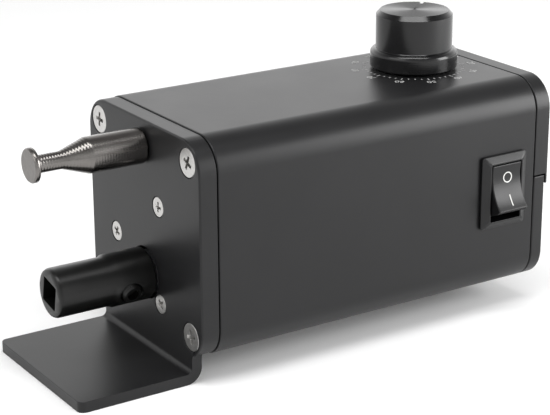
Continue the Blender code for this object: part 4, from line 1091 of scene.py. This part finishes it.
def build_floor():
    """A matt white floor."""
    deselect()
    bpy.ops.mesh.primitive_plane_add(size=12.0)
    floor = name_it(bpy.context.object, "studio_floor")
    paper, _, shader, _ = surface("pale_paper", 0.9)
    shader.inputs["Base Color"].default_value = srgb("#fbfbfb")
    shader.inputs["Specular IOR Level"].default_value = 0.0
    floor.data.materials.append(paper)


def build_sky():
    """White walls and a darker ceiling all round, brighter at the back left."""
    world = bpy.data.worlds.new("studio")
    world.use_nodes = True
    bpy.context.scene.world = world
    tree = world.node_tree
    direction = node(tree, "ShaderNodeTexCoord").outputs["Generated"]
    height = node(tree, "ShaderNodeSeparateXYZ", {"Vector": direction}).outputs["Z"]
    ramp = node(tree, "ShaderNodeValToRGB", {"Fac": height})
    stops = ramp.color_ramp.elements
    stops[0].position = 0.0
    stops[0].color = (1.0, 1.0, 1.0, 1.0)
    stops[1].position = 0.8
    stops[1].color = (0.2, 0.2, 0.2, 1.0)
    stops.new(0.3).color = (1.0, 1.0, 1.0, 1.0)
    back_left = {0: direction, 1: (-0.8, 0.5, 0.0)}
    side = node(tree, "ShaderNodeVectorMath", back_left, operation="DOT_PRODUCT").outputs["Value"]
    levels = {"Value": side, "From Min": 0.2, "From Max": 0.9, "To Min": 1.08, "To Max": 1.85}
    strength = node(tree, "ShaderNodeMapRange", levels).outputs["Result"]
    sky = tree.nodes["Background"]
    tree.links.new(ramp.outputs["Color"], sky.inputs["Color"])
    tree.links.new(strength, sky.inputs["Strength"])


# Each softbox: its place, the point that it faces, its size and its brightness.
SOFTBOXES = {
    "rear_right_softbox": ((430.0, 560.0, 190.0), (0.0, 60.0, 60.0), (320.0, 420.0), 9.5),
    "overhead_softbox": ((165.0, -60.0, 830.0), (0.0, 60.0, 0.0), (800.0, 230.0), 7.5),
    "front_fill_softbox": ((80.0, -820.0, 700.0), (0.0, 0.0, 0.0), (900.0, 600.0), 1.8),
}


def build_lights():
    """Three softboxes."""
    for name, (place, aim, (width, height), radiance) in SOFTBOXES.items():
        deselect()
        bpy.ops.object.light_add(type="AREA", location=at(*place))
        lamp = bpy.context.object
        lamp.name = name
        lamp.data.shape = "RECTANGLE"
        lamp.data.size = width * MM
        lamp.data.size_y = height * MM
        lamp.data.energy = radiance * math.pi * lamp.data.size * lamp.data.size_y
        lamp.rotation_euler = (at(*aim) - at(*place)).to_track_quat("-Z", "Y").to_euler()


# The camera stands in front, to the right and above, and is turned from looking straight down.
CAMERA_PLACE = (392.06, -210.34, 158.64)
CAMERA_TILT = 70.886
CAMERA_ROLL = 0.306
CAMERA_PAN = 57.171


def build_camera():
    """A long lens on the unit, with its colours left as they are lit."""
    deselect()
    bpy.ops.object.camera_add(location=at(*CAMERA_PLACE))
    camera = bpy.context.object
    camera.name = "studio_camera"
    camera.rotation_euler = [math.radians(turn) for turn in (CAMERA_TILT, CAMERA_ROLL, CAMERA_PAN)]
    camera.data.sensor_width = 36.0
    camera.data.lens = 115.73
    camera.data.clip_start = 0.01
    camera.data.clip_end = 30.0
    bpy.context.scene.camera = camera
    bpy.context.scene.view_settings.view_transform = "Standard"


build_floor()
build_sky()
build_lights()
build_camera()
dress_inner_parts()
build_housing()
build_front_plate()
build_screws()
build_locating_pin()
build_drive_socket()
build_set_screw()
build_knob()
build_dial()
build_rear_covers()
build_switch()
build_rocker()
build_rear_foot()
build_inlet()
